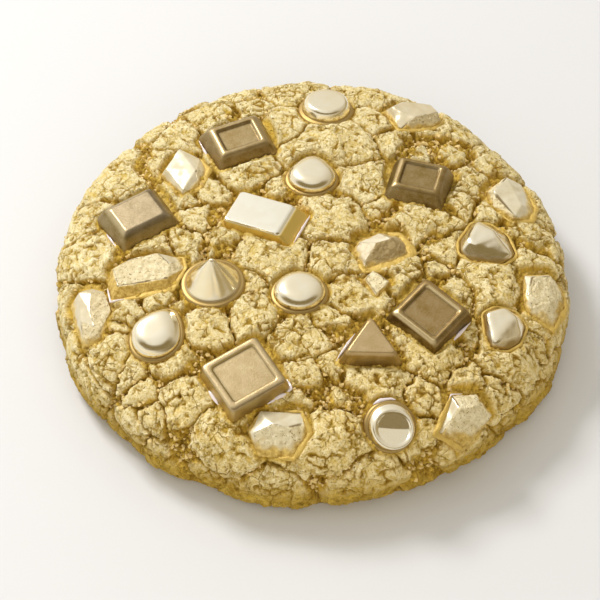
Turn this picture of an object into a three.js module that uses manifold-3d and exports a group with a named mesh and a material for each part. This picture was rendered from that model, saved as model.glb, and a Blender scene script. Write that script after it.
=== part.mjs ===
// Chocolate chip cookie: one round of baked dough, cracked on top, with 25 pieces of chocolate set in it.
// Millimetres, +Z up, the underside on z = 0. Each piece of chocolate sits in a pocket of its own.

import * as THREE from "three";
import { ConvexGeometry } from "three/addons/geometries/ConvexGeometry.js";
import { mergeVertices } from "three/addons/utils/BufferGeometryUtils.js";
import Module from "manifold-3d";

// Driving sizes of the dough
const RADIUS = 50;
const RIM_LEVEL = 7; // height of the widest level
const CROWN = 13; // rise of the domed top above the rim
const FLATNESS = 3; // power of the dome: 2 is a ball, higher is flatter
const FOOT_INSET = 2; // how far the side draws in at the underside
const CRACK_WIDTH = 2.4;
const CRACK_DEPTH = 1.3;
const SIDE_PLATES = 24; // plates of crust round the side
const GRID = 44; // squares across the dough's surface grid

// Fit of the chocolate in the dough
const GAP = 0.3;
const DEPTH = 2.6; // how deep a piece sits below the crust

// Where the outline draws in or swells: direction in degrees, amount, spread in degrees
const SPREADS = [
  [30, -1.0, 26],
  [152, -0.8, 22],
  [106, 0.5, 14],
  [194, -0.5, 12],
  [250, 0.3, 30],
];

// Plates of crust on the top: place x and y, reach, and how far each stands up
const PLATES = [
  [-40, 21, 7, 0.3], [-45, 8, 5, 0.2], [-44, -1, 6, 0.5], [-28, 32, 4, 0.3], [-21, 37, 5, 0.4],
  [-33, 35, 5, 0.2], [-32, 22, 3, 0.2], [-25, 43, 5, 0.2], [-15, 45, 4, 0.0], [-4, 45, 6, 0.4],
  [-12, 38, 3, -0.2], [-5, 32, 5, 0.7], [4, 26, 8, 0.9], [-13, 17, 4, 0.6], [-20, 12, 3, 0.4],
  [-25, 11, 3, 0.2], [-22, 5, 4, 0.4], [-17, 2, 4, 0.5], [-30, -1, 4, 0.6], [-25, 0, 3, 0.2],
  [-7, 13, 2, 0.1], [12, 34, 4, 0.6], [12, 44, 6, 0.4], [17, 27, 3, 0.2], [28, 32, 6, 0.4],
  [28, 27, 5, 0.5], [22, 24, 3, 0.2], [36, 25, 5, 0.2], [31, 17, 4, 0.3], [30, 11, 3, 0.3],
  [8, 14, 6, 0.8], [4, 6, 7, 0.7], [20, 3, 6, 0.8], [35, 9, 3, 0.3], [42, 4, 5, 0.4],
  [46, 12, 5, 0.1], [38, 32, 5, 0.2], [12, 8, 3, 0.2], [-46, -10, 4, 0.2], [-8, -5, 7, 0.8],
  [-12, -10, 4, 0.3], [-36, -16, 4, 0.5], [-29, -15, 3, 0.4], [-20, -21, 5, 0.9], [-11, -19, 5, 0.8],
  [-25, -17, 2, 0.2], [-2, -25, 5, 0.5], [-39, -25, 5, 0.9], [-37, -20, 2, 0.3], [-33, -30, 3, 0.4],
  [-26, -29, 4, 0.6], [-31, -34, 3, 0.3], [-24, -37, 5, 0.6], [-29, -38, 3, 0.2], [-18, -44, 5, 0.6],
  [-1, -33, 4, 0.4], [-3, -38, 3, 0.3], [4, -6, 5, 0.8], [7, -14, 4, 0.8], [2, -21, 3, 0.4],
  [17, -7, 4, 0.6], [23, -7, 2, 0.3], [24, -2, 4, 0.3], [34, -9, 6, 0.8], [28, -12, 3, 0.1],
  [42, -3, 4, 0.4], [44, -17, 4, 0.2], [37, -27, 6, 0.6], [42, -21, 3, 0.2], [23, -29, 6, 0.7],
  [29, -25, 2, 0.0], [27, -32, 4, 0.4], [12, -34, 6, 0.7], [21, -36, 4, 0.7], [6, -38, 3, 0.3],
  [3, -31, 3, 0.3], [4, -45, 6, 0.8], [20, -43, 3, 0.2], [35, -34, 5, 0.3],
];

// Finishes: colour, roughness and metalness of each kind of surface
const FINISHES = {
  dough: new THREE.MeshStandardMaterial({ color: 0xc9ad70, roughness: 0.85, metalness: 0.0 }),
  satin_brown: new THREE.MeshStandardMaterial({ color: 0x96784a, roughness: 0.4, metalness: 0.7 }),
  satin_light: new THREE.MeshStandardMaterial({ color: 0xccb280, roughness: 0.4, metalness: 0.7 }),
  polished: new THREE.MeshStandardMaterial({ color: 0xe6dcb4, roughness: 0.1, metalness: 0.9 }),
  rough: new THREE.MeshStandardMaterial({ color: 0xded0a4, roughness: 0.6, metalness: 0.4 }),
};

const wasm = await Module();
wasm.setup();

const UP = new THREE.Vector3(0, 0, 1);
const rad = THREE.MathUtils.degToRad;

// ---- Turning shapes into solids for cutting, and back ----

function toSolid(geometry) {
  const bare = new THREE.BufferGeometry();
  bare.setAttribute("position", geometry.getAttribute("position"));
  bare.setIndex(geometry.index);
  const merged = mergeVertices(bare, 1e-4);
  return new wasm.Manifold(new wasm.Mesh({
    numProp: 3,
    vertProperties: new Float32Array(merged.getAttribute("position").array),
    triVerts: new Uint32Array(merged.index.array),
  }));
}

function toGeometry(solid) {
  const mesh = solid.getMesh();
  const geometry = new THREE.BufferGeometry();
  geometry.setAttribute("position", new THREE.BufferAttribute(mesh.vertProperties, 3));
  geometry.setIndex(new THREE.BufferAttribute(mesh.triVerts, 1));
  geometry.computeVertexNormals();
  return geometry;
}

// ---- The dough: a low dome on a drawn-in side, covered in cracked plates of crust ----

// Outer radius in the direction given in radians
function outlineRadius(angle) {
  let radius = RADIUS;
  for (const [direction, amount, spread] of SPREADS) {
    const off = Math.atan2(Math.sin(angle - rad(direction)), Math.cos(angle - rad(direction)));
    radius += amount * Math.exp(-((off / rad(spread)) ** 2));
  }
  return radius;
}

// Height of the smooth dome over x, y
function domeHeight(x, y) {
  const share = Math.min(1, Math.hypot(x, y) / outlineRadius(Math.atan2(y, x)));
  return RIM_LEVEL + CROWN * Math.cbrt(Math.max(0, 1 - share ** FLATNESS));
}

function domeNormal(x, y) {
  const step = 0.05;
  const slopeX = (domeHeight(x + step, y) - domeHeight(x - step, y)) / (2 * step);
  const slopeY = (domeHeight(x, y + step) - domeHeight(x, y - step)) / (2 * step);
  return new THREE.Vector3(-slopeX, -slopeY, 1).normalize();
}

// Points of the profile from the top's centre over the rim to the underside's edge:
// share of the outer radius, height, and the way along from 0 to 1
function doughProfile(steps = 120) {
  const points = [];
  for (let i = 0; i <= steps; i++) {
    const share = Math.sin((i / steps) * Math.PI / 2);
    points.push([share, RIM_LEVEL + CROWN * Math.cbrt(1 - share ** FLATNESS)]);
  }
  for (let i = 1; i <= steps; i++) {
    const turn = (i / steps) * Math.PI / 2;
    points.push([1 - (FOOT_INSET / RADIUS) * (1 - Math.cos(turn)), RIM_LEVEL * (1 - Math.sin(turn))]);
  }
  let length = 0;
  points[0].push(0);
  for (let i = 1; i < points.length; i++) {
    const [share, height] = points[i];
    const [lastShare, lastHeight] = points[i - 1];
    length += Math.hypot((share - lastShare) * RADIUS, height - lastHeight);
    points[i].push(length);
  }
  return points.map(([share, height, along]) => ({ share, height, along: along / length }));
}

const profile = doughProfile();

function profileAt(along) {
  const next = Math.max(1, profile.findIndex((point) => point.along >= along - 1e-9));
  const a = profile[next - 1];
  const b = profile[next];
  const mix = (along - a.along) / (b.along - a.along);
  const slope = Math.atan2(a.height - b.height, (b.share - a.share) * RADIUS);
  return {
    share: a.share + (b.share - a.share) * mix,
    height: a.height + (b.height - a.height) * mix,
    slope,
  };
}

// Centres of the plates in space: those on the top, then a band round the side
function crustPlates() {
  const plates = PLATES.map(([x, y, reach, rise]) => ({
    centre: new THREE.Vector3(x, y, domeHeight(x, y)), reach, rise,
  }));
  for (let i = 0; i < SIDE_PLATES; i++) {
    const angle = (i / SIDE_PLATES) * 2 * Math.PI + 0.09 * Math.sin(i * 5.3);
    const height = 5 + 1.6 * Math.sin(i * 3.1);
    const radius = outlineRadius(angle);
    const centre = new THREE.Vector3(radius * Math.cos(angle), radius * Math.sin(angle), height);
    plates.push({ centre, reach: 4 + Math.sin(i * 2.3), rise: 0.2 + 0.2 * Math.sin(i * 4.1) });
  }
  return plates;
}

const plates = crustPlates();

// How far the crust stands out from the smooth dome: up on a plate, down in a crack
function crustRelief(point) {
  let nearest = Infinity;
  let second = Infinity;
  let rise = 0;
  for (const plate of plates) {
    const away = plate.centre.distanceTo(point) - plate.reach;
    if (away < nearest) {
      second = nearest;
      nearest = away;
      rise = plate.rise;
    } else if (away < second) {
      second = away;
    }
  }
  const inside = THREE.MathUtils.smoothstep((second - nearest) / 2, 0, CRACK_WIDTH);
  const grounded = THREE.MathUtils.smoothstep(point.z, 0.2, 4);
  return (inside * rise - (1 - inside) * CRACK_DEPTH) * grounded;
}

// A point of the dough's skin: u and v run from -1 to 1 over a square that wraps the dome and side
function skinPoint(u, v) {
  let along = 0;
  let angle = 0;
  if (Math.abs(u) > Math.abs(v)) {
    along = Math.abs(u);
    angle = (Math.PI / 4) * (v / u) + (u < 0 ? Math.PI : 0);
  } else if (v !== 0) {
    along = Math.abs(v);
    angle = Math.PI / 2 - (Math.PI / 4) * (u / v) + (v < 0 ? Math.PI : 0);
  }
  const { share, height, slope } = profileAt(along);
  const radius = share * outlineRadius(angle);
  const point = new THREE.Vector3(radius * Math.cos(angle), radius * Math.sin(angle), height);
  const relief = crustRelief(point);
  point.x += relief * Math.sin(slope) * Math.cos(angle);
  point.y += relief * Math.sin(slope) * Math.sin(angle);
  point.z += relief * Math.cos(slope);
  return point;
}

function makeDough() {
  const positions = [];
  const triangles = [];
  const row = GRID + 1;
  for (let j = 0; j < row; j++) {
    for (let i = 0; i < row; i++) {
      positions.push(...skinPoint((2 * i) / GRID - 1, (2 * j) / GRID - 1));
    }
  }
  for (let j = 0; j < GRID; j++) {
    for (let i = 0; i < GRID; i++) {
      const corner = j * row + i;
      const rising = (i < GRID / 2) === (j < GRID / 2);
      if (rising) {
        triangles.push(corner, corner + 1, corner + row + 1, corner, corner + row + 1, corner + row);
      } else {
        triangles.push(corner, corner + 1, corner + row, corner + 1, corner + row + 1, corner + row);
      }
    }
  }
  // The flat underside: a fan from its centre to the skin's edge
  const edge = [];
  for (let i = 0; i < GRID; i++) edge.push(i);
  for (let j = 0; j < GRID; j++) edge.push(j * row + GRID);
  for (let i = GRID; i > 0; i--) edge.push(GRID * row + i);
  for (let j = GRID; j > 0; j--) edge.push(j * row);
  const centre = positions.length / 3;
  positions.push(0, 0, 0);
  edge.forEach((from, k) => triangles.push(centre, edge[(k + 1) % edge.length], from));
  const geometry = new THREE.BufferGeometry();
  geometry.setAttribute("position", new THREE.Float32BufferAttribute(positions, 3));
  geometry.setIndex(triangles);
  return toSolid(geometry);
}

// ---- Shapes of chocolate: stacked outlines, or broken lumps given by their corners ----

// Outlines of half-width 1, as lists of [x, y] running anticlockwise
function roundedOutline(corners, rounding, stepsPerCorner = 3) {
  const points = [];
  corners.forEach(([x, y], k) => {
    const before = corners[(k + corners.length - 1) % corners.length];
    const after = corners[(k + 1) % corners.length];
    const corner = new THREE.Vector2(x, y);
    const start = corner.clone().lerp(new THREE.Vector2(...before), rounding);
    const end = corner.clone().lerp(new THREE.Vector2(...after), rounding);
    const bend = new THREE.QuadraticBezierCurve(start, corner, end);
    bend.getPoints(stepsPerCorner - 1).forEach((point) => points.push([point.x, point.y]));
  });
  return points;
}

const SQUARE = roundedOutline([[-1, -1], [1, -1], [1, 1], [-1, 1]], 0.1);
const TRIANGLE = roundedOutline([[-1, -0.62], [1, -0.62], [0, 1.12]], 0.13, 4);

// A round that draws out to a point at +Y, by the share given
function dropOutline(point, count = 16) {
  const points = [];
  for (let i = 0; i < count; i++) {
    const angle = (i / count) * 2 * Math.PI + Math.PI / 2;
    const pull = 1 + point * Math.max(0, Math.cos((i / count) * 2 * Math.PI)) ** 3;
    const narrowing = 1 - 0.3 * point * Math.max(0, Math.sin(angle));
    points.push([Math.cos(angle) * narrowing, Math.sin(angle) * pull]);
  }
  return points;
}

// Stacks copies of an outline: each level is [inset, height, slide x, slide y], from the bottom up
function stack(outline, width, depth, levels) {
  const positions = [];
  const triangles = [];
  const count = outline.length;
  for (const [inset, height, slideX = 0, slideY = 0] of levels) {
    for (const [x, y] of outline) {
      positions.push(x * (width / 2 - inset) + slideX, y * (depth / 2 - inset) + slideY, height);
    }
  }
  for (let level = 0; level + 1 < levels.length; level++) {
    for (let i = 0; i < count; i++) {
      const a = level * count + i;
      const b = level * count + ((i + 1) % count);
      triangles.push(a, b, b + count, a, b + count, a + count);
    }
  }
  const last = levels.length - 1;
  const [, bottom, , ] = levels[0];
  const [, top, topX = 0, topY = 0] = levels[last];
  const centre = positions.length / 3;
  positions.push(0, 0, bottom, topX, topY, top);
  for (let i = 0; i < count; i++) {
    const next = (i + 1) % count;
    triangles.push(centre, next, i, centre + 1, last * count + i, last * count + next);
  }
  const geometry = new THREE.BufferGeometry();
  geometry.setAttribute("position", new THREE.Float32BufferAttribute(positions, 3));
  geometry.setIndex(triangles);
  return geometry;
}

// The room that a stacked piece needs in the dough: its widest outline, open above
function stackPocket(outline, width, depth) {
  return stack(outline, width + 2 * GAP, depth + 2 * GAP, [[0, -DEPTH - GAP], [0, 12]]);
}

// A broken lump: its upper corners, and a waist at the crust that narrows below it
function lump({ top, waist, depth = DEPTH }) {
  const root = waist.map(([x, y]) => [x * 0.75, y * 0.75, -depth]);
  return [...top, ...waist, ...root];
}

function hull(points) {
  return new ConvexGeometry(points.map((point) => new THREE.Vector3(...point)));
}

function lumpPocket(points) {
  const room = [];
  for (const [x, y, z] of points) {
    for (const [signX, signY] of [[-1, -1], [1, -1], [1, 1], [-1, 1]]) {
      room.push([x + signX * GAP, y + signY * GAP, z - GAP]);
      room.push([x + signX * GAP, y + signY * GAP, z + 8]);
    }
  }
  return hull(room);
}

// ---- Putting the pieces in place ----

const cookie = new THREE.Group();
let dough = makeDough();

// Seats a piece on the dome at x, y, square to the crust but for its lean, and cuts its pocket
function seat(name, finish, geometry, pocket, { x, y, turn = 0, leanX = 0, leanY = 0 }) {
  const axis = domeNormal(x, y);
  axis.x += Math.tan(rad(leanX));
  axis.y += Math.tan(rad(leanY));
  axis.normalize();
  const mesh = new THREE.Mesh(toGeometry(toSolid(geometry)), FINISHES[finish].clone());
  mesh.name = name;
  mesh.position.set(x, y, domeHeight(x, y));
  mesh.quaternion.setFromUnitVectors(UP, axis);
  mesh.quaternion.multiply(new THREE.Quaternion().setFromAxisAngle(UP, rad(turn)));
  mesh.updateMatrix();
  dough = dough.subtract(toSolid(pocket.applyMatrix4(mesh.matrix)));
  cookie.add(mesh);
}

// Squares broken from a moulded bar: sloping flanks on a short foot, most with a sunk panel
const SQUARES = [
  { name: "square_back_left", finish: "satin_brown", width: 13.4, depth: 11.4, slope: 1.9, height: 3.5,
    panel: 0.5, x: -14.5, y: 25.2, turn: 23, leanX: 3, leanY: -9 },
  { name: "square_left", finish: "satin_light", width: 13.2, depth: 11.6, slope: 1.6, height: 3.4,
    panel: 0, x: -33.6, y: 5.2, turn: 31, leanX: 5, leanY: -4 },
  { name: "square_back_right", finish: "satin_brown", width: 12.2, depth: 11.2, slope: 1.6, height: 3.3,
    panel: 0.4, x: 21, y: 13.8, turn: -15, leanX: -2, leanY: -2 },
  { name: "square_right", finish: "satin_brown", width: 12.2, depth: 11.8, slope: 0.9, height: 3.2,
    panel: 0.4, x: 21.8, y: -20, turn: -41, leanX: -2, leanY: -8 },
  { name: "square_front", finish: "satin_light", width: 12.8, depth: 12.4, slope: 0.7, height: 3.2,
    panel: 0.3, x: -12.4, y: -34.2, turn: 31, leanX: 0, leanY: 0 },
];

for (const square of SQUARES) {
  const { width, depth, slope, height, panel } = square;
  const levels = [[0, -DEPTH], [0, 0], [slope - 0.3, height - 0.6], [slope, height - 0.2]];
  levels.push([slope + 0.3, height]);
  if (panel > 0) levels.push([slope + 1.1, height], [slope + 1.1 + panel, height - panel]);
  const shape = stack(SQUARE, width, depth, levels);
  seat(square.name, square.finish, shape, stackPocket(SQUARE, width, depth), square);
}

// One three-cornered piece from the same kind of bar
{
  const place = { x: 10.6, y: -27.4, turn: 0, leanX: 0, leanY: -6 };
  const levels = [[0, -DEPTH], [0, 0], [1.3, 3.2], [1.6, 3.6], [1.9, 3.8]];
  const shape = stack(TRIANGLE, 13.6, 12.8, levels);
  seat("triangle_front_right", "satin_brown", shape, stackPocket(TRIANGLE, 13.6, 12.8), place);
}

// One oblong slab with polished sides
{
  const place = { x: -8.8, y: 3.9, turn: -25, leanX: -5, leanY: -1 };
  const levels = [[0, -DEPTH], [0, -0.4], [0.3, 0.3], [0.9, 2.0, -0.7], [1.3, 2.3, -0.9]];
  const shape = stack(SQUARE, 14.6, 9.4, levels);
  seat("slab_centre", "polished", shape, stackPocket(SQUARE, 14.6, 9.4), place);
}

// Dropped chips: a low foot, a step, then a body that rises to a cone, a dome or a flat top.
// A body is a list of levels [inset, height, slide x, slide y]; point draws the outline out at one end.
const FOOT = [[0, -DEPTH], [0, 0.1], [0.3, 0.5], [0.8, 0.7]];
const DROPS = [
  { name: "cone_left", width: 12.4, depth: 12.2, point: 0, x: -18.8, y: -11.8, leanX: 0, leanY: 0,
    body: [[1.2, 1.1], [2.2, 2.5], [3.6, 4.5], [4.9, 6.3, 0.2], [5.8, 7.2, 0.3]] },
  { name: "button_back", width: 11.4, depth: 11.2, point: 0, x: 3, y: 36.4, leanX: 0, leanY: -2,
    body: [[0.9, 1.4], [1.3, 2.3], [1.8, 2.7]] },
  { name: "button_front", width: 9.8, depth: 9.8, point: 0, x: 14, y: -42.6, leanX: 0, leanY: -8,
    body: [[0.7, 1.3, 0.1, -0.2], [0.9, 1.9, 0.3, -0.5], [1.3, 2.2, 0.4, -0.6]] },
  { name: "drop_back", width: 10.8, depth: 10, point: 0.25, turn: -4, x: 0, y: 15.3, leanX: 0, leanY: 0,
    body: [[1.1, 1.5], [1.7, 2.3], [2.6, 2.7], [3.8, 2.9]] },
  { name: "drop_centre", width: 11.2, depth: 10.2, point: 0.06, turn: 5, x: -2.4, y: -14.6,
    leanX: 0, leanY: 0, body: [[1.2, 1.5], [1.8, 2.3], [2.7, 2.7], [4.0, 2.9]] },
  { name: "drop_left", width: 10.8, depth: 11, point: 0.25, turn: -25, x: -29, y: -23.7, leanX: 0, leanY: 0,
    body: [[1.1, 1.5], [1.8, 2.5], [2.7, 3.0], [4.0, 3.3, 0, 0.6]] },
];

for (const drop of DROPS) {
  const outline = dropOutline(drop.point);
  const shape = stack(outline, drop.width, drop.depth, [...FOOT, ...drop.body]);
  seat(drop.name, "polished", shape, stackPocket(outline, drop.width, drop.depth), drop);
}

// Two pebbles, polished, with broad facets
const PEBBLES = [
  { name: "pebble_right", x: 33.5, y: -1,
    top: [[-4, -0.5, 2.4], [-2, 4, 2.4], [1, 1.5, 3], [-3.5, -2, 2.6], [1.5, 0, 3], [4.5, -3, 1.4],
      [-2.5, -4, 1]],
    waist: [[-5.5, 0, 0], [-5.5, -3, 0], [-3, -4.8, 0], [3, -4.8, 0], [6, -2, 0], [4.5, 3, 0], [1, 5.5, 0],
      [-2.5, 5.5, 0]] },
  { name: "pebble_front_right", x: 35.5, y: -21,
    top: [[-3.2, 2.5, 1.5], [0, 4, 2], [2, 2, 2.5], [-2, -4, 1.5], [3.5, 3, 1.2], [3.5, -1, 1],
      [0.5, -3.5, 0.8]],
    waist: [[-3.8, 3, 0], [-1, 5, 0], [3, 4.5, 0], [5, 1.5, 0], [3.5, -2.5, 0], [1, -4.5, 0],
      [-2.4, -4.6, 0], [-3.4, -2, 0]] },
];

// Chunks broken off a block: flat faces, sharp edges, grainy where they split
const CHUNKS = [
  { name: "chunk_back_left", x: -25, y: 17.5,
    top: [[-1, 4.5, 3], [2.5, -1.5, 2.5], [0, -6, 1.5], [-3.5, -0.5, 2.5], [2.8, 3, 1.4]],
    waist: [[-1.5, 6, 0], [2.6, 4.5, 0], [4.6, 0.5, 0], [3, -4.5, 0], [-0.5, -6.5, 0], [-5, 0, 0]] },
  { name: "chunk_back", x: 20.5, y: 34,
    top: [[-4.5, 1, 2.5], [-2, 3.5, 2.5], [3.5, 3.5, 2.5], [5, 1, 2.5], [0, -2, 2.5], [-3, -0.5, 2.5]],
    waist: [[-6, 2.5, 0], [-3, -4, 0], [0, -3.5, 0], [4, -2, 0], [6, 0.5, 0], [4, 5, 0], [-3, 5, 0]] },
  { name: "chunk_centre", x: 13, y: -4,
    top: [[-1, -0.5, 3], [2, 1, 3], [3.5, -1, 2], [-3, -3.5, 1.5], [-4, 1, 1.5], [4.5, 1.5, 1]],
    waist: [[-5.5, 0, 0], [-3, -5, 0], [2.5, -3.5, 0], [6, -0.5, 0], [4, 4, 0], [0, 5, 0], [-4, 3, 0]] },
  { name: "chunk_right_back", x: 39, y: 11.5,
    top: [[-1, 5.5, 2], [-4, 0.5, 2], [0, -5, 1.5], [1.5, -2, 2], [2.5, 5.5, 1], [4.5, -1.5, 0.5]],
    waist: [[-5, 2, 0], [-4, -2, 0], [-0.5, -5.5, 0], [4, -4, 0], [5.5, 0, 0], [3, 6.5, 0], [-1, 7, 0]] },
  { name: "chunk_right", x: 43.5, y: -11.5,
    top: [[-2.5, 3, 1.5], [1.5, 4.5, 1.5], [0.5, -2.5, 2], [-3, -4, 1], [-3.5, -1.5, 1.5], [4, 1.5, 1],
      [2.5, -5.5, 0.5]],
    waist: [[-3.5, 4, 0], [-4, -2, 0], [-3, -5, 0], [2.5, -7, 0], [5.5, -1, 0], [5, 3.5, 0], [2, 6, 0]] },
  { name: "chunk_front_right", x: 27, y: -38.5,
    top: [[-3.5, -4.5, 0.5], [-1, 0.5, 2.5], [1.5, 1, 2.5], [5.5, 0, 1.5], [1, -6.5, 0], [-1, 2.5, 1],
      [3, 3, 1]],
    waist: [[-4.5, -4.5, -0.5], [-2, 3, 0], [3, 4, 0], [6.5, 0.5, 0], [1.5, -7.5, -1.5]] },
  { name: "chunk_front", x: -6.5, y: -44.5,
    top: [[-4.5, 0, 1.5], [-2, 2.5, 1.5], [-0.5, 1.5, 2.5], [2.5, 1, 2], [5, 1.5, 1], [4, -1.5, 1],
      [3, -3.5, 0.5], [-3, -3, 0.5]],
    waist: [[-5.5, 1, 0], [-3.5, -4, 0], [3, -4.5, 0], [6, 0, 0], [4.5, 4, 0], [-3, 4.5, 0]] },
  { name: "chunk_left", x: -32, y: -9,
    top: [[-5.5, 0.5, 2.5], [-2.5, 2.5, 2.5], [3, 3.5, 2.5], [5.5, 1, 2], [5, -2.5, 2], [-4.5, -3.5, 2]],
    waist: [[-7, -1, 0], [-6, -5.5, 0], [5.5, -4, 0], [8, 1, 0], [7.5, 3.5, 0], [-2.5, 4.5, 0],
      [-6.5, 2.5, 0]] },
  { name: "chunk_far_left", x: -42, y: -16,
    top: [[-1.5, 4.5, 2], [1, 4, 1.5], [1, -0.5, 2], [2.5, -5.5, 1.5], [-0.5, -6, 1], [-1, -2, 2]],
    waist: [[-4.5, 3.5, 0], [-3, -3, 0], [-1.5, -7, 0], [3, -6.5, 0], [4.5, 0, 0], [3, 4.5, 0], [0.5, 6, 0],
      [-2.5, 6, 0]] },
  { name: "chip_small_centre", x: 12, y: -12.2, depth: 1.6,
    top: [[-2, 0.5, 1.2], [-0.5, 2.5, 1.2], [2.5, 0, 1.2], [0, -3, 1]],
    waist: [[-2.8, 0.8, 0], [-0.5, 3.2, 0], [3, 0.2, 0], [0, -3.5, 0]] },
];

for (const piece of [...PEBBLES, ...CHUNKS]) {
  const corners = lump(piece);
  const finish = PEBBLES.includes(piece) ? "polished" : "rough";
  seat(piece.name, finish, hull(corners), lumpPocket(corners), piece);
}

// ---- The dough with its pockets, and the whole centred over the origin ----

const doughMesh = new THREE.Mesh(toGeometry(dough), FINISHES.dough);
doughMesh.name = "dough";
cookie.add(doughMesh);

const box = new THREE.Box3().setFromObject(cookie);
const middle = box.getCenter(new THREE.Vector3());
for (const piece of cookie.children) {
  piece.position.x -= middle.x;
  piece.position.y -= middle.y;
}

export default cookie;
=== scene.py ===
import math

import bmesh
import bpy
import numpy as np
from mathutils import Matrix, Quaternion, Vector, geometry, noise


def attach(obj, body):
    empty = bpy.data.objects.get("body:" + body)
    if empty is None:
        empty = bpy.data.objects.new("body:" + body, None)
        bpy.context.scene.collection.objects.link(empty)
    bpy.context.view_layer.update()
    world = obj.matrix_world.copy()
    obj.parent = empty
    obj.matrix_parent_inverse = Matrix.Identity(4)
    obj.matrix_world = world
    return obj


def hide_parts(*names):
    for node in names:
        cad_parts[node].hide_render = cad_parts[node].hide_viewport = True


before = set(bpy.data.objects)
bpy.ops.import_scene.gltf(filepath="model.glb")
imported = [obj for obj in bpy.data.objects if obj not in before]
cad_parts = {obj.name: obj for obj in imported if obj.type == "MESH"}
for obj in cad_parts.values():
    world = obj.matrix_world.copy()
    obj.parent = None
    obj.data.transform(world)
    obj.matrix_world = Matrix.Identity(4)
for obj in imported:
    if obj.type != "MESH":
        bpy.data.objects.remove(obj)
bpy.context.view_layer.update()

# ---- The round of dough: its form ----
# A ball of dough that spread as it baked: a flat underside, a side that draws in below, and a low
# dome on top. Its sizes are in millimetres, measured from the axis of the dome.

RADIUS = 50.0
RIM_LEVEL = 7.0
CROWN = 13.0
FLATNESS = 3.0
FOOT_INSET = 2.0
# Where the axis of the dome stands, to the right and back of the origin
DOME_AXIS = np.array([-0.128, 0.063])
# Direction in degrees, how far the dough swelled or drew in there, and over how many degrees
SPREADS = [(30, -1.0, 26), (152, -0.8, 22), (106, 0.5, 14), (194, -0.5, 12), (250, 0.3, 30)]


def outline_radius(angle):
    """Outer radius of the dough in the direction given, where it drew in or swelled."""
    radius = np.full_like(angle, RADIUS)
    for direction, amount, spread in SPREADS:
        off = (angle - math.radians(direction) + math.pi) % (2 * math.pi) - math.pi
        radius += amount * np.exp(-((off / math.radians(spread)) ** 2))
    return radius


def dome_height(x, y):
    """Height of the smooth dome over a point measured from its axis."""
    share = np.hypot(x, y) / outline_radius(np.arctan2(y, x))
    return RIM_LEVEL + CROWN * np.cbrt(np.maximum(0.0, 1 - np.minimum(1, share) ** FLATNESS))


def dome_normal(x, y):
    """Direction square to the smooth dome."""
    step = 0.05
    slope_x = (dome_height(x + step, y) - dome_height(x - step, y)) / (2 * step)
    slope_y = (dome_height(x, y + step) - dome_height(x, y - step)) / (2 * step)
    return Vector((-float(slope_x), -float(slope_y), 1)).normalized()


def dough_profile(steps=160):
    """Share of the outer radius, height, and way along, from the top's centre to the foot."""
    turn = np.linspace(0, math.pi / 2, steps)
    top_share = np.sin(turn)
    top_height = RIM_LEVEL + CROWN * np.cbrt(1 - top_share ** FLATNESS)
    side_share = 1 - (FOOT_INSET / RADIUS) * (1 - np.cos(turn[1:]))
    side_height = RIM_LEVEL * (1 - np.sin(turn[1:]))
    share = np.concatenate([top_share, side_share])
    height = np.concatenate([top_height, side_height])
    length = np.concatenate([[0], np.cumsum(np.hypot(np.diff(share) * RADIUS, np.diff(height)))])
    return share, height, length / length[-1]


# A square grid wrapped over the dome and down the side, so that its faces are of one size and no
# point is a pole
GRID = 600
line = np.linspace(-1, 1, GRID + 1)
v, u = (a.ravel() for a in np.meshgrid(line, line, indexing="ij"))
wide = np.abs(u) > np.abs(v)
ratio = np.where(wide, v / np.where(u == 0, 1, u), u / np.where(v == 0, 1, v))
angle = np.where(
    wide,
    math.pi / 4 * ratio + np.where(u < 0, math.pi, 0),
    math.pi / 2 - math.pi / 4 * ratio + np.where(v < 0, math.pi, 0),
)
along = np.maximum(np.abs(u), np.abs(v))
share, height, way = dough_profile()
reach = np.interp(along, way, share) * outline_radius(angle)
level = np.interp(along, way, height)
lean = np.arctan2(-np.gradient(height, way), np.gradient(share * RADIUS, way))
lean = np.interp(along, way, lean)
skin = np.stack([reach * np.cos(angle), reach * np.sin(angle), level], 1)
outward = np.stack([np.sin(lean) * np.cos(angle), np.sin(lean) * np.sin(angle), np.cos(lean)], 1)

# ---- The crust: plates that split apart as the dough rose ----
# The skin dries first in the oven, then tears into plates that stand up, with crumbly fissures
# between them. Each plate is given by its centre, its reach and how far it stands up.


def smoothstep(value, low, high):
    """Runs softly from 0 at low to 1 at high, and no further either way."""
    t = np.clip((value - low) / (high - low), 0, 1)
    return t * t * (3 - 2 * t)


def swell(points, size, place=0.0):
    """Soft noise from -1 to 1 over the points, with swells of about that size in millimetres.

    Each place gives other swells, so that two uses don't follow each other."""
    return np.array([noise.noise(p) for p in (points / size + place).tolist()])


def chance_of(places):
    """A number from -1 to 1 for each place: it looks random, and is the same on every run."""
    return np.sin(places @ [12.9, 78.2, 37.7] * 43.7)


def cells(points, size, place=0.0):
    """Scattered cells of about that size: way from the edge, chance, and tilt.

    The way is in millimetres, and chance and tilt run from -1 to 1 and differ per cell."""
    spots = points / size + place
    found = [noise.voronoi(p) for p in spots.tolist()]
    ways = np.array([d[:2] for d, _ in found]) * size
    centres = np.array([c[0] for _, c in found])
    leaning = np.sin(centres @ [[31.7, 57.1, 11.3], [17.9, 23.3, 61.7], [41.1, 13.9, 29.3]] * 37.0)
    tilt = (leaning * (spots - centres)).sum(1)
    return (ways[:, 1] - ways[:, 0]) / 2, chance_of(centres), tilt


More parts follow.
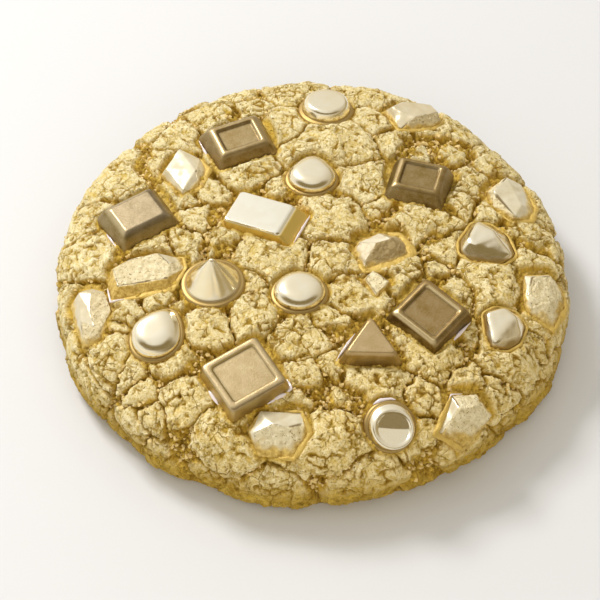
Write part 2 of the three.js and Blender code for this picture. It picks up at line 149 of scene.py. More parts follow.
PLATES = [
    (-40, 21, 7, 0.3), (-45, 8, 5, 0.2), (-44, -1, 6, 0.5), (-28, 32, 4, 0.3), (-21, 37, 5, 0.4),
    (-33, 35, 5, 0.2), (-32, 22, 3, 0.2), (-25, 43, 5, 0.2), (-15, 45, 4, 0.0), (-4, 45, 6, 0.4),
    (-12, 38, 3, -0.2), (-5, 32, 5, 0.7), (4, 26, 8, 0.9), (-13, 17, 4, 0.6), (-20, 12, 3, 0.4),
    (-25, 11, 3, 0.2), (-22, 5, 4, 0.4), (-17, 2, 4, 0.5), (-30, -1, 4, 0.6), (-25, 0, 3, 0.2),
    (-7, 13, 2, 0.1), (12, 34, 4, 0.6), (12, 44, 6, 0.4), (17, 27, 3, 0.2), (28, 32, 6, 0.4),
    (28, 27, 5, 0.5), (22, 24, 3, 0.2), (36, 25, 5, 0.2), (31, 17, 4, 0.3), (30, 11, 3, 0.3),
    (8, 14, 6, 0.8), (4, 6, 7, 0.7), (20, 3, 6, 0.8), (35, 9, 3, 0.3), (42, 4, 5, 0.4),
    (46, 12, 5, 0.1), (38, 32, 5, 0.2), (12, 8, 3, 0.2), (-46, -10, 4, 0.2), (-8, -5, 7, 0.8),
    (-12, -10, 4, 0.3), (-36, -16, 4, 0.5), (-29, -15, 3, 0.4), (-20, -21, 5, 0.9),
    (-11, -19, 5, 0.8), (-25, -17, 2, 0.2), (-2, -25, 5, 0.5), (-39, -25, 5, 0.9),
    (-37, -20, 2, 0.3), (-33, -30, 3, 0.4), (-26, -29, 4, 0.6), (-31, -34, 3, 0.3),
    (-24, -37, 5, 0.6), (-29, -38, 3, 0.2), (-18, -44, 5, 0.6), (-1, -33, 4, 0.4),
    (-3, -38, 3, 0.3), (4, -6, 5, 0.8), (7, -14, 4, 0.8), (2, -21, 3, 0.4), (17, -7, 4, 0.6),
    (23, -7, 2, 0.3), (24, -2, 4, 0.3), (34, -9, 6, 0.8), (28, -12, 3, 0.1), (42, -3, 4, 0.4),
    (44, -17, 4, 0.2), (37, -27, 6, 0.6), (42, -21, 3, 0.2), (23, -29, 6, 0.7), (29, -25, 2, 0.0),
    (27, -32, 4, 0.4), (12, -34, 6, 0.7), (21, -36, 4, 0.7), (6, -38, 3, 0.3), (3, -31, 3, 0.3),
    (4, -45, 6, 0.8), (20, -43, 3, 0.2), (35, -34, 5, 0.3),
]
# How many plates the side has, and how high, how broad and how far out they lie on average
SIDE_PLATES = 30
SIDE_LEVEL, SIDE_REACH, SIDE_RISE = 5, 4, 0.3

plates = [(x, y, float(dome_height(x, y)), r, rise) for x, y, r, rise in PLATES]
for i in range(SIDE_PLATES):
    turn = i / SIDE_PLATES * 2 * math.pi + 0.13 * math.sin(i * 5.3)
    out = float(outline_radius(np.array([turn]))[0])
    plates.append((
        out * math.cos(turn), out * math.sin(turn), SIDE_LEVEL + 3.4 * math.sin(i * 3.1),
        SIDE_REACH + 2.2 * math.sin(i * 2.3), SIDE_RISE + 0.3 * math.sin(i * 4.1),
    ))
plates = np.array(plates)

# Torn edges wander, so the plates are looked up at points pushed about by noise
torn = skin.copy()
for axis in range(3):
    torn[:, axis] += 1.2 * swell(skin, 4.2, 11.0 + 7 * axis) + 0.5 * swell(skin, 1.5, 41.0 + 7 * axis)
nearest = np.full(len(skin), np.inf)
second = np.full(len(skin), np.inf)
rise = np.zeros(len(skin))
for x, y, z, spread, stand in plates:
    away = np.linalg.norm(torn - [x, y, z], axis=1) - spread
    closer = away < nearest
    second = np.where(closer, nearest, np.minimum(second, away))
    rise = np.where(closer, stand, rise)
    nearest = np.where(closer, away, nearest)
edge = (second - nearest) / 2

# How far the dough tore open here: a hairline in some places, a wide crumbly fissure in others. It
# stayed firmer at two places, left and right of the front.
FIRM_X, FIRM_Y, FIRM_REACH = 37, -26, 12
HAIRLINE, WIDENING = 0.35, 1.9
firmer = np.exp(-((np.abs(skin[:, 0]) - FIRM_X) ** 2 + (skin[:, 1] - FIRM_Y) ** 2) / FIRM_REACH ** 2)
opening = np.clip(0.40 + 1.4 * swell(skin, 7.0, 83.0) - 0.8 * firmer, 0, 1)
strip = HAIRLINE + WIDENING * opening ** 2
crumbly = 1 - smoothstep(edge, 0.35 * strip, strip)

# Each plate stands up as a mound and drops off at its edge, to a groove where it meets the next
PLATE_STAND, PLATE_RISE, MOUND_REACH = 0.70, 1.3, 2.3
UNEVENNESS, GROOVE_DEPTH = 0.35, 0.35
mound = 1 - np.exp(-edge / MOUND_REACH)
relief = (PLATE_STAND + PLATE_RISE * rise) * mound + UNEVENNESS * swell(skin, 5.0, 71.0)
relief -= crumbly * (0.25 + 0.65 * opening + 0.3 * rise)
relief -= GROOVE_DEPTH * (1 - smoothstep(edge, 0.04, 0.26))
rubbly = smoothstep(swell(skin, 4.5, 91.0), -0.1, 0.4)


def height_of(on_plates, on_rubble, in_fissures):
    """A height on the plates, and how much more it is on rubbly patches and in the fissures."""
    return on_plates + on_rubble * rubbly + in_fissures * crumbly


# The crust broke into flakes that stand at different heights and tilt a little, with hairline
# cracks between some of them, and those broke into smaller ones
FLAKE, FLAKE_STEP, FLAKE_TILT, FLAKE_CRACK = 3.2, (0.08, 0, 0.10), (0.16, 0, 0.2), 0.34
SMALL, SMALL_STEP, SMALL_TILT, SMALL_CRACK = 1.4, (0.03, 0, 0.16), (0.06, 0, 0.2), 0.2
wander = skin + 0.32 * np.stack([swell(skin, 0.8, 5.0 * k) for k in (1, 2, 3)], 1)
wander += 0.3 * (torn - skin)
flake_edge, chance, tilt = cells(wander, FLAKE, 29.0)
split = 1 - smoothstep(flake_edge, 0.03, 0.16)
split *= smoothstep(swell(skin, 3.0, 67.0) + 0.6 * crumbly, 0.02, 0.2)
relief += height_of(*FLAKE_STEP) * chance + height_of(*FLAKE_TILT) * tilt - FLAKE_CRACK * split
small_edge, chance, tilt = cells(wander, SMALL, 43.0)
chipped = 1 - smoothstep(small_edge, 0.02, 0.12)
chipped *= smoothstep(swell(skin, 2.2, 19.0) + 0.6 * crumbly, 0.12, 0.28)
relief += height_of(*SMALL_STEP) * chance + height_of(*SMALL_TILT) * tilt - SMALL_CRACK * chipped

# Its surface is a fine rubble of grains, with creases between the coarse ones, over thin layers
COARSE, COARSE_HEIGHT, CREASE_DEPTH = 1.7, (0.02, 0.08, 0.42), 0.18
LAYER_HEIGHT = (0.10, 0.10, 0)
FINE, FINE_HEIGHT = 0.8, (0.05, 0.10, 0.26)
coarse = np.abs(swell(wander, COARSE, 43.0))
fine = np.abs(swell(wander, FINE, 47.0))
coarse_grain = coarse ** 0.7 - 0.4
fine_grain = fine ** 0.7 - 0.4
layers = smoothstep(swell(wander, 2.6, 59.0), 0.0, 0.08)
layers += smoothstep(swell(wander, 1.6, 61.0), 0.08, 0.16)
relief += height_of(*COARSE_HEIGHT) * coarse_grain
relief += height_of(*LAYER_HEIGHT) * (layers - 0.7)
relief += height_of(*FINE_HEIGHT) * fine_grain
crease = 1 - smoothstep(coarse, 0.0, 0.09)
crease *= smoothstep(swell(skin, 2.2, 19.0) + 0.8 * crumbly, -0.1, 0.3)
crease = np.maximum(crease, 0.8 * chipped)
relief -= CREASE_DEPTH * crease

# Torn dough in the fissures is crumbs stuck together, with small holes between them
LUMP, LUMP_HEIGHT, HOLE, HOLE_DEPTH = 1.15, 0.32, 1.2, 0.35
lump_edge, chance, _ = cells(wander, LUMP, 17.0)
lumps = smoothstep(lump_edge, 0.0, 0.3) - 0.6 + 0.3 * chance
relief += LUMP_HEIGHT * crumbly * lumps
hollow = smoothstep(swell(torn, HOLE, 37.0), 0.42, 0.52)
relief -= HOLE_DEPTH * hollow

# ---- Where the chocolate sits ----
# The chips and chunks were folded into the dough. The dough rose round each one, so it touches the
# front of a piece and stands a little back from it behind, and each piece has its own pocket.

# Sizes are given in millimetres, and turned to metres as each mesh is made
MM = 0.001
# Name: place x and y, then turn about its axis and lean along x and y, in degrees
SEATS = {
    "square_back_left": (-14.5, 25.2, 23, 3, -9),
    "square_left": (-33.6, 5.2, 31, 5, -4),
    "square_back_right": (21, 13.8, -15, -2, -2),
    "square_right": (21.8, -20, -41, -2, -8),
    "square_front": (-12.4, -34.2, 31, 0, 0),
    "triangle_front_right": (10.6, -27.4, 0, 0, -6),
    "slab_centre": (-8.8, 3.9, -25, -5, -1),
    "cone_left": (-18.8, -11.8, 0, 0, 0),
    "button_back": (3, 36.4, 0, 0, -2),
    "button_front": (14, -42.6, 0, 0, -8),
    "drop_back": (0, 15.3, -4, 0, 0),
    "drop_centre": (-2.4, -14.6, 5, 0, 0),
    "drop_left": (-29, -23.7, -25, 0, 0),
    "pebble_right": (33.5, -1, 0, 0, 0),
    "pebble_front_right": (35.5, -21, 0, 0, 0),
    "chunk_back_left": (-25, 17.5, 0, 0, 0),
    "chunk_back": (20.5, 34, 0, 0, 0),
    "chunk_centre": (13, -4, 0, 0, 0),
    "chunk_right_back": (39, 11.5, 0, 0, 0),
    "chunk_right": (43.5, -11.5, 0, 0, 0),
    "chunk_front_right": (27, -38.5, 0, 0, 0),
    "chunk_front": (-6.5, -44.5, 0, 0, 0),
    "chunk_left": (-32, -9, 0, 0, 0),
    "chunk_far_left": (-42, -16, 0, 0, 0),
    "chip_small_centre": (12, -12.2, 0, 0, 0),
}


def seat_of(name):
    """The piece's place on the dome, and its turn from lying flat at the origin."""
    x, y, turn, lean_x, lean_y = SEATS[name]
    axis = dome_normal(x, y)
    axis += Vector((math.tan(math.radians(lean_x)), math.tan(math.radians(lean_y)), 0))
    turned = Vector((0, 0, 1)).rotation_difference(axis.normalized())
    turned = turned @ Quaternion((0, 0, 1), math.radians(turn))
    place = np.array([x, y, float(dome_height(np.float64(x), np.float64(y)))])
    return place, np.array(turned.to_matrix())


def outline_of(name):
    """The piece's outline where it meets the crust, in its own flat plane."""
    place, turned = seat_of(name)
    corners = np.array([c.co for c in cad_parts[name].data.vertices]) / MM
    corners[:, :2] -= DOME_AXIS
    flat = (corners - place) @ turned
    flat = [Vector(p[:2]) for p in flat if p[2] > -1.0]
    outline = np.array([flat[k] for k in geometry.convex_hull_2d(flat)])
    return outline[np.linalg.norm(np.roll(outline, -1, axis=0) - outline, axis=1) > 0.01]


def distance_to_outline(points, outline):
    """Distance of flat points from a convex outline, below zero inside it."""
    nearest = np.full(len(points), np.inf)
    outside = np.full(len(points), -np.inf)
    turns = np.sign(np.cross(outline[1] - outline[0], outline[2] - outline[1]))
    for start, end in zip(outline, np.roll(outline, -1, axis=0)):
        run = end - start
        t = np.clip(((points - start) @ run) / (run @ run), 0, 1)
        nearest = np.minimum(nearest, np.linalg.norm(points - start - t[:, None] * run, axis=1))
        normal = turns * np.array([run[1], -run[0]]) / np.linalg.norm(run)
        outside = np.maximum(outside, (points - start) @ normal)
    return np.where(outside > 0, nearest, -nearest)


POCKET_DEPTH = 2.9
# How far round the middle of a piece the dough is shaped to it, across and up or down
SHAPED_ACROSS, SHAPED_UP = 12, 6
# How much wider the gap is behind a piece than in front, how high the dough meets its front, and how
# much lower it lies behind, for round pieces and for the rest
ROUND_PIECES = ("cone", "button", "drop", "pebble")
ROUND_GAP, ROUND_MEETING, ROUND_FALL = 0.4, 0.3, 0.7
OTHER_GAP, OTHER_MEETING, OTHER_FALL = 1.5, 0.6, 1.3
clear = np.full(len(skin), 99.0)
pull = np.zeros(len(skin))
pocket_level = np.zeros(len(skin))
for name in SEATS:
    place, turned = seat_of(name)
    local = (skin - place) @ turned
    close = (np.abs(local[:, :2]).max(1) < SHAPED_ACROSS) & (np.abs(local[:, 2]) < SHAPED_UP)
    close = np.nonzero(close)[0]
    away = distance_to_outline(local[close, :2], outline_of(name))
    offset = skin[close] - place
    behind = offset[:, 1] / (np.linalg.norm(offset[:, :2], axis=1) + 1e-6)
    gap, meeting, fall = OTHER_GAP, OTHER_MEETING, OTHER_FALL
    if name.startswith(ROUND_PIECES):
        gap, meeting, fall = ROUND_GAP, ROUND_MEETING, ROUND_FALL
    gap = 0.1 + gap * smoothstep(behind, -0.2, 0.9)
    meeting = meeting - fall * smoothstep(behind, -0.6, 0.6)
    meeting += 0.3 * swell(skin[close], 2.5, 97.0)
    share_here = 1 - smoothstep(away, gap, gap + 0.8)
    nearer = away < clear[close]
    pick = close[nearer]
    clear[pick] = away[nearer]
    pull[pick] = np.maximum(pull[pick], share_here[nearer])
    pocket_level[pick] = meeting[nearer]

# Near a piece the dough follows it and is torn, and it runs out to a plain edge at the foot
torn_round = 0.35 * lumps + 0.35 * coarse_grain + 0.25 * fine_grain
relief = relief * (1 - pull) + (pocket_level + torn_round) * pull
relief -= (POCKET_DEPTH + relief) * smoothstep(-clear, 0.35, 0.9)
relief *= smoothstep(level, 0.1, 1.8)

# ---- The dough as one closed piece ----
# The baked lump itself: a grid over top and side, and a flat underside. Shares kept with the mesh
# say where it is baked skin, which is pale, and where it is torn dough, which is golden.

# How much of the baked skin is left at each point, and how deep it lies in a crack or a hole, which the
# material paints darker as painted shade
crust = 1 - smoothstep(crumbly + 0.35 * swell(skin, 1.6, 47.0) - 0.15 * lumps, 0.2, 0.75)
crust *= (1 - 0.75 * pull) * (1 - 0.7 * split) * (1 - 0.4 * crease)
deep = np.maximum(split, 0.6 * crease)
deep = np.maximum(deep, (1 - smoothstep(edge, 0.05, 0.35)) * 0.9)
deep = np.maximum(deep, crumbly * (1 - smoothstep(lump_edge, 0.02, 0.16)))
deep = np.maximum(deep, 0.7 * hollow)

# What stands proud of the dough round it stays pale, and what lies lower is painted golden and darker:
# painted shade in the hollows
NEAR_BY = 6
row = GRID + 1
around = relief.reshape(row, row)
steps = range(-NEAR_BY, NEAR_BY + 1)
for axis in (0, 1):
    around = sum(np.roll(around, k, axis) for k in steps) / len(steps)
proud = smoothstep(relief - around.ravel(), -0.35, 0.12)

# The faces of the grid, then the underside as a fan from its middle to the rim
points = skin + outward * relief[:, None]
points[:, :2] += DOME_AXIS
faces = []
for j in range(GRID):
    for i in range(GRID):
        k = j * row + i
        faces.append((k, k + 1, k + row + 1, k + row))
rim = list(range(GRID)) + [j * row + GRID for j in range(GRID)]
rim += [GRID * row + i for i in range(GRID, 0, -1)] + [j * row for j in range(GRID, 0, -1)]
points = np.vstack([points, [[DOME_AXIS[0], DOME_AXIS[1], 0]]])
crust = np.append(crust, 0.2)
deep = np.append(deep, 0.0)
proud = np.append(proud, 0.5)
centre = len(points) - 1
faces += [(centre, rim[(k + 1) % len(rim)], rim[k]) for k in range(len(rim))]


def placed(name, data):
    """A new object in the scene, which shows the mesh, lamp or camera given."""
    thing = bpy.data.objects.new(name, data)
    bpy.context.scene.collection.objects.link(thing)
    return thing


def keep_shares(mesh, shares):
    """Keeps named shares with the mesh, a number for each point, for its material to read."""
    for key, values in shares.items():
        mesh.attributes.new(key, "FLOAT", "POINT").data.foreach_set("value", np.float32(values))


def new_piece(name, points, faces, material, **shares):
    """A smooth-shaded mesh object at the origin, from millimetres, with named shares per point."""
    mesh = bpy.data.meshes.new(name)
    mesh.from_pydata((np.asarray(points) * MM).tolist(), [], faces)
    mesh.shade_smooth()
    keep_shares(mesh, shares)
    mesh.materials.append(material)
    return placed(name, mesh)


def finished_mesh(holder):
    """The plain mesh that the holder's modifiers make. The holder itself is thrown away."""
    graph = bpy.context.evaluated_depsgraph_get()
    mesh = bpy.data.meshes.new_from_object(holder.evaluated_get(graph))
    bpy.data.objects.remove(holder)
    return mesh


def new_material(name, roughness, metallic=0.0, **values):
    """A material, its node tree and its Principled shader, with uniform values on the sockets."""
    material = bpy.data.materials.new(name)
    material.use_nodes = True
    shader = material.node_tree.nodes["Principled BSDF"]
    shader.inputs["Roughness"].default_value = roughness
    shader.inputs["Metallic"].default_value = metallic
    for key, value in values.items():
        shader.inputs[key.replace("_", " ")].default_value = value
    return material, material.node_tree, shader


def add(tree, kind, **settings):
    """A node of that kind. Settings whose names start with a capital are inputs."""
    node = tree.nodes.new(kind)
    for key, value in settings.items():
        if key[0].isupper():
            node.inputs[key.replace("_", " ")].default_value = value
        else:
            setattr(node, key, value)
    return node


def mix(tree, factor, first, second):
    """Mixes two colours, each a socket or three numbers, by a socket or a number."""
    node = add(tree, "ShaderNodeMix", data_type="RGBA")
    sockets = (node.inputs[0], node.inputs[6], node.inputs[7])
    for socket, value in zip(sockets, (factor, first, second)):
        if isinstance(value, bpy.types.NodeSocket):
            tree.links.new(value, socket)
        elif isinstance(value, tuple):
            socket.default_value = (*value, 1)
        else:
            socket.default_value = value
    return node.outputs[2]


def grain(tree, size, detail=4.0, roughness=0.6):
    """Noise over the piece's own coordinates, with features of about that many millimetres."""
    coords = add(tree, "ShaderNodeTexCoord")
    texture = add(tree, "ShaderNodeTexNoise", Scale=1 / (size * MM), Detail=detail, Roughness=roughness)
    tree.links.new(coords.outputs["Object"], texture.inputs["Vector"])
    return texture.outputs["Fac"]


def between(tree, value, low, high):
    """Turns a value to run from 0 at low to 1 at high."""
    node = add(tree, "ShaderNodeMapRange", From_Min=low, From_Max=high)
    tree.links.new(value, node.inputs["Value"])
    return node.outputs["Result"]


def blotched(tree, size, first, second):
    """One colour with soft blotches of another, of about that many millimetres."""
    return mix(tree, between(tree, grain(tree, size), 0.35, 0.65), first, second)


def share_of(tree, name):
    """A share that was kept with the mesh."""
    return add(tree, "ShaderNodeAttribute", attribute_name=name).outputs["Fac"]


def bump(tree, shader, heights):
    """Chains bumps, each a height socket and its depth in millimetres, into the shader."""
    last = None
    for height, depth in heights:
        node = add(tree, "ShaderNodeBump", Strength=1.0, Distance=depth * MM)
        tree.links.new(height, node.inputs["Height"])
        if last:
            tree.links.new(last, node.inputs["Normal"])
        last = node.outputs["Normal"]
    tree.links.new(last, shader.inputs["Normal"])


def way_along(tree, x, y, z):
    """Way along a direction from the origin, in millimetres, in the piece's own coordinates."""
    coords = add(tree, "ShaderNodeTexCoord")
    dot = add(tree, "ShaderNodeVectorMath", operation="DOT_PRODUCT")
    tree.links.new(coords.outputs["Object"], dot.inputs[0])
    dot.inputs[1].default_value = Vector((x, y, z)).normalized() / MM
    return dot.outputs["Value"]


def cracks(tree, size, wander, width, fewness):
    """Hairline cracks between cells of about that size: 0 in a crack, and 1 away from it.

    The cracks wander, and they show only where a slow noise is above their fewness."""
    coords = add(tree, "ShaderNodeTexCoord").outputs["Object"]
    push = add(tree, "ShaderNodeTexNoise", Scale=2 / (size * MM), Detail=3.0)
    tree.links.new(coords, push.inputs["Vector"])
    away = add(tree, "ShaderNodeVectorMath", operation="MULTIPLY_ADD")
    tree.links.new(push.outputs["Color"], away.inputs[0])
    away.inputs[1].default_value = (2 * wander * MM,) * 3
    tree.links.new(coords, away.inputs[2])
    net = add(tree, "ShaderNodeTexVoronoi", feature="DISTANCE_TO_EDGE", Scale=1 / (size * MM))
    tree.links.new(away.outputs["Vector"], net.inputs["Vector"])
    gap = between(tree, net.outputs["Distance"], 0.2 * width / size, width / size)
    none = between(tree, grain(tree, 1.8 * size, 2.0), fewness + 0.05, fewness - 0.05)
    clear = add(tree, "ShaderNodeMath", operation="MAXIMUM")
    tree.links.new(gap, clear.inputs[0])
    tree.links.new(none, clear.inputs[1])
    return clear.outputs[0]


# Pale at the back and golden towards the front, and darker down the side: partly how it browned, partly
# painted shade where the light falls off towards the front and down the side
SPECK_HIGHLIGHT, LOW_DOUGH = (0.94, 0.86, 0.60), ((0.59, 0.39, 0.025), (0.80, 0.58, 0.10))
CRACK_SHADE, PIT_SHADE, DEEP_SHADE = (0.42, 0.26, 0.03), (0.36, 0.20, 0.02), (0.28, 0.15, 0.008)
baked, tree, shader = new_material("baked dough", 0.8, Specular_IOR_Level=0.25)
pale = blotched(tree, 5.0, (0.76, 0.65, 0.355), (0.87, 0.78, 0.49))
golden = blotched(tree, 5.0, (0.79, 0.62, 0.265), (0.90, 0.75, 0.40))
pale = mix(tree, between(tree, way_along(tree, 0.35, -0.9, 0), -5, 60), pale, golden)
# Pale specks over it: painted highlights
pale = mix(tree, between(tree, grain(tree, 0.8, 2.0), 0.50, 0.75), pale, SPECK_HIGHLIGHT)
# Down the side it is painted darker and more golden: partly browning, partly painted shade
side_patch = between(tree, grain(tree, 1.3), 0.40, 0.60)
side = mix(tree, side_patch, (0.40, 0.245, 0.03), (0.60, 0.42, 0.09))
pale = mix(tree, between(tree, way_along(tree, 0, 0, 1), 9.5, 4.5), pale, side)
low = mix(tree, grain(tree, 1.2), *LOW_DOUGH)
# Dough lying lower than the dough round it is painted golden and darker: painted shade in the hollows
pale = mix(tree, share_of(tree, "proud"), low, pale)

# The skin flaked in thin layers: each layer's edge is sharp, and what shows below it is golden
flaked = between(tree, grain(tree, 1.4, 4.0, 0.65), 0.40, 0.44)
chipped_off = between(tree, grain(tree, 0.8, 3.0, 0.65), 0.36, 0.42)
pale = mix(tree, flaked, mix(tree, 0.35, pale, low), pale)
pale = mix(tree, chipped_off, mix(tree, 0.45, pale, low), pale)

# Hairline cracks and pits run over parts of it, and its surface is sandy. The cracks and pits are painted
# brown and the hollows of the sand golden: painted shade in them
net = cracks(tree, 3.2, 0.5, 0.11, 0.57)
pale = mix(tree, net, CRACK_SHADE, pale)
pits = between(tree, grain(tree, 0.7, 2.0, 0.7), 0.30, 0.35)
pale = mix(tree, pits, PIT_SHADE, pale)
sand = between(tree, grain(tree, 0.28, 2.0), 0.30, 0.50)
pale = mix(tree, sand, mix(tree, 0.75, pale, low), pale)
torn_dough = mix(tree, grain(tree, 1.2), (0.54, 0.33, 0.022), (0.88, 0.64, 0.14))
colour = mix(tree, between(tree, share_of(tree, "crust"), 0.1, 0.9), torn_dough, pale)
# Deep in the cracks, holes and fissures it is painted dark brown: painted shade
sunk = add(tree, "ShaderNodeMath", operation="MULTIPLY")
tree.links.new(share_of(tree, "deep"), sunk.inputs[0])
tree.links.new(between(tree, grain(tree, 1.0), 0.25, 0.5), sunk.inputs[1])
colour = mix(tree, sunk.outputs[0], colour, DEEP_SHADE)
tree.links.new(colour, shader.inputs["Base Color"])
bump(tree, shader, [(flaked, 0.06), (chipped_off, 0.05), (net, 0.12), (pits, 0.12), (sand, 0.14)])


def thinned(name, piece, ratio):
    """The same closed mesh with fewer triangles where it is smooth."""
    fewer = piece.modifiers.new("thinned", "DECIMATE")
    fewer.ratio = ratio
    mesh = finished_mesh(piece)
    mesh.name = name

    # Thinning can leave two faces flat against each other, which are taken off
    shell = bmesh.new()
    shell.from_mesh(mesh)
    same = {}
    for face in shell.faces:
        same.setdefault(frozenset(corner.index for corner in face.verts), []).append(face)
    flaps = [face for faces in same.values() if len(faces) > 1 for face in faces]
    bmesh.ops.delete(shell, geom=flaps, context="FACES")
    shell.to_mesh(mesh)
    shell.free()
    return placed(name, mesh)


# Where crumbs lie: in the fissures, and in parts of the gaps behind the pieces
lying = crumbly * (1 - smoothstep(pull, 0.0, 0.6))
lying = np.maximum(lying, 0.7 * pull * smoothstep(swell(skin, 2.5, 53.0), -0.2, 0.3))
lying *= smoothstep(level, 3.0, 9.0)
lying = np.append(lying * (clear > 0.6), 0)
SHARE_KEPT = 0.27
dough = new_piece("dough_fine", points, faces, baked,
                  crust=crust, deep=deep, proud=proud, crumbs=lying)
dough = thinned("dough_round", dough, SHARE_KEPT)
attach(dough, "root")
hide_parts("dough")

# ---- Loose crumbs in the fissures ----
# Small crumbs of dough that broke off the torn edges and lie in the fissures. They are scattered
# over the fissures' floors and walls, a few faces each, and no two alike.

crumb_dough, tree, shader = new_material("crumb", 0.8)
colour = mix(tree, grain(tree, 1.5), (0.62, 0.43, 0.12), (0.90, 0.75, 0.40))
tree.links.new(colour, shader.inputs["Base Color"])
bump(tree, shader, [(grain(tree, 0.3, 2.0), 0.1)])


FULL_TURN = 6.283


def crumb_tree():
    """Scatters crumbs where the share called crumbs is high: small balls pushed out of round."""
    tree = bpy.data.node_groups.new("scattered crumbs", "GeometryNodeTree")
    face = tree.interface
    face.new_socket("Dough", in_out="INPUT", socket_type="NodeSocketGeometry")
    inputs = {"Density": 5.0e5, "Smallest": 0.15 * MM, "Largest": 0.50 * MM, "Out of round": 1.3 * MM}
    for name, value in inputs.items():
        socket = face.new_socket(name, in_out="INPUT", socket_type="NodeSocketFloat")
        socket.default_value = value
    face.new_socket("Crumb material", in_out="INPUT", socket_type="NodeSocketMaterial")
    face.new_socket("Crumbs", in_out="OUTPUT", socket_type="NodeSocketGeometry")
    given = tree.nodes.new("NodeGroupInput")
    result = tree.nodes.new("NodeGroupOutput")
    link = tree.links.new
    bare = add(tree, "GeometryNodeInputNamedAttribute", data_type="FLOAT", Name="crumbs")
    thick = add(tree, "ShaderNodeMath", operation="MULTIPLY")
    link(bare.outputs["Attribute"], thick.inputs[0])
    link(given.outputs["Density"], thick.inputs[1])
    spread = add(tree, "GeometryNodeDistributePointsOnFaces", Seed=7)
    link(given.outputs["Dough"], spread.inputs["Mesh"])
    link(thick.outputs[0], spread.inputs["Density"])
    ball = add(tree, "GeometryNodeMeshIcoSphere", Radius=1.0, Subdivisions=1)
    turn = add(tree, "FunctionNodeRandomValue", data_type="FLOAT_VECTOR", Seed=3)
    turn.inputs[1].default_value = (FULL_TURN,) * 3
    size = add(tree, "FunctionNodeRandomValue", data_type="FLOAT", Seed=5)
    link(given.outputs["Smallest"], size.inputs[2])
    link(given.outputs["Largest"], size.inputs[3])
    laid = add(tree, "GeometryNodeInstanceOnPoints")
    link(spread.outputs["Points"], laid.inputs["Points"])
    link(ball.outputs["Mesh"], laid.inputs["Instance"])
    link(turn.outputs["Value"], laid.inputs["Rotation"])
    link(size.outputs[1], laid.inputs["Scale"])
    real = add(tree, "GeometryNodeRealizeInstances")
    link(laid.outputs["Instances"], real.inputs["Geometry"])
    rough = add(tree, "ShaderNodeTexNoise", Scale=1 / (0.5 * MM), Detail=1.0)
    where = add(tree, "GeometryNodeInputPosition")
    link(where.outputs["Position"], rough.inputs["Vector"])
    shift = add(tree, "ShaderNodeVectorMath", operation="SUBTRACT")
    link(rough.outputs["Color"], shift.inputs[0])
    shift.inputs[1].default_value = (0.5, 0.5, 0.5)
    scaled = add(tree, "ShaderNodeVectorMath", operation="SCALE")
    link(shift.outputs["Vector"], scaled.inputs[0])
    link(given.outputs["Out of round"], scaled.inputs["Scale"])
    broken = add(tree, "GeometryNodeSetPosition")
    link(real.outputs["Geometry"], broken.inputs["Geometry"])
    link(scaled.outputs["Vector"], broken.inputs["Offset"])
    painted = add(tree, "GeometryNodeSetMaterial")
    link(broken.outputs["Geometry"], painted.inputs["Geometry"])
    link(given.outputs["Crumb material"], painted.inputs["Material"])
    link(painted.outputs["Geometry"], result.inputs["Crumbs"])
    return tree


def grown(base, group, name, **values):
    """Runs a node group on a mesh object, with its inputs given, and keeps the plain result."""
    holder = placed(name + "_holder", base.data)
    modifier = holder.modifiers.new(group.name, "NODES")
    modifier.node_group = group
    keys = {s.name: s.identifier for s in group.interface.items_tree if s.in_out == "INPUT"}
    for key, value in values.items():
        modifier[keys[key.replace("_", " ")]] = value
    mesh = finished_mesh(holder)
    mesh.name = name
    return placed(name, mesh)


crumbs = grown(dough, crumb_tree(), "crumbs_in_fissures", Crumb_material=crumb_dough)
crumbs.data.shade_flat()
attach(crumbs, "root")

# ---- Squares of moulded chocolate ----
# Squares snapped from a moulded bar and brushed with bronze-gold or light gold lustre. Flanks slope
# up from a short foot to a rounded shoulder, and most have a plain panel sunk into the top.


def stack(outline, width, depth, levels, sides=1.0):
    """A closed form of rings, one to a level. A level is inset, height and slide to the right and back.

    At the left and right the inset is as many times larger as sides says."""
    points = []
    count = len(outline)
    for inset, height, slide_x, slide_y in levels:
        ring = outline * [width / 2 - inset * sides, depth / 2 - inset] + [slide_x, slide_y]
        points.append(np.column_stack([ring, np.full(count, height)]))
    faces = []
    for k in range(len(levels) - 1):
        for i in range(count):
            a, b = k * count + i, k * count + (i + 1) % count
            faces.append((a, b, b + count, a + count))
    faces.append(tuple(range(count - 1, -1, -1)))
    faces.append(tuple((len(levels) - 1) * count + i for i in range(count)))
    return np.vstack(points), faces


def softened(corners, steps=5):
    """Rounds each inner corner of a path: the last number of a corner is its softness, to 0.5."""
    path = [np.array(c[:-1], float) for c in corners]
    rounded = [path[0]]
    for before, here, after, corner in zip(path, path[1:], path[2:], corners[1:]):
        start = here + (before - here) * corner[-1]
        end = here + (after - here) * corner[-1]
        for t in np.linspace(0, 1, steps):
            rounded.append((1 - t) ** 2 * start + 2 * t * (1 - t) * here + t * t * end)
    rounded.append(path[-1])
    return rounded


def rounded_outline(corners, rounding, side_steps=6, corner_steps=7):
    """A polygon of half-width 1 with rounded corners, running anticlockwise."""
    corners = [np.array(c, float) for c in corners]
    points = []
    for k, here in enumerate(corners):
        before, after = corners[k - 1], corners[(k + 1) % len(corners)]
        start, end = here + (before - here) * rounding, here + (after - here) * rounding
        for t in np.linspace(0, 1, corner_steps):
            points.append((1 - t) ** 2 * start + 2 * t * (1 - t) * here + t * t * end)
        next_start = after + (here - after) * rounding
        for t in np.linspace(0, 1, side_steps + 1)[1:-1]:
            points.append(end + (next_start - end) * t)
    return np.array(points)


def seated(name, points):
    """Moves a piece made flat at the origin to its place in the dough."""
    place, turned = seat_of(name)
    points = np.asarray(points) @ turned.T + place
    points[:, :2] += DOME_AXIS
    return points


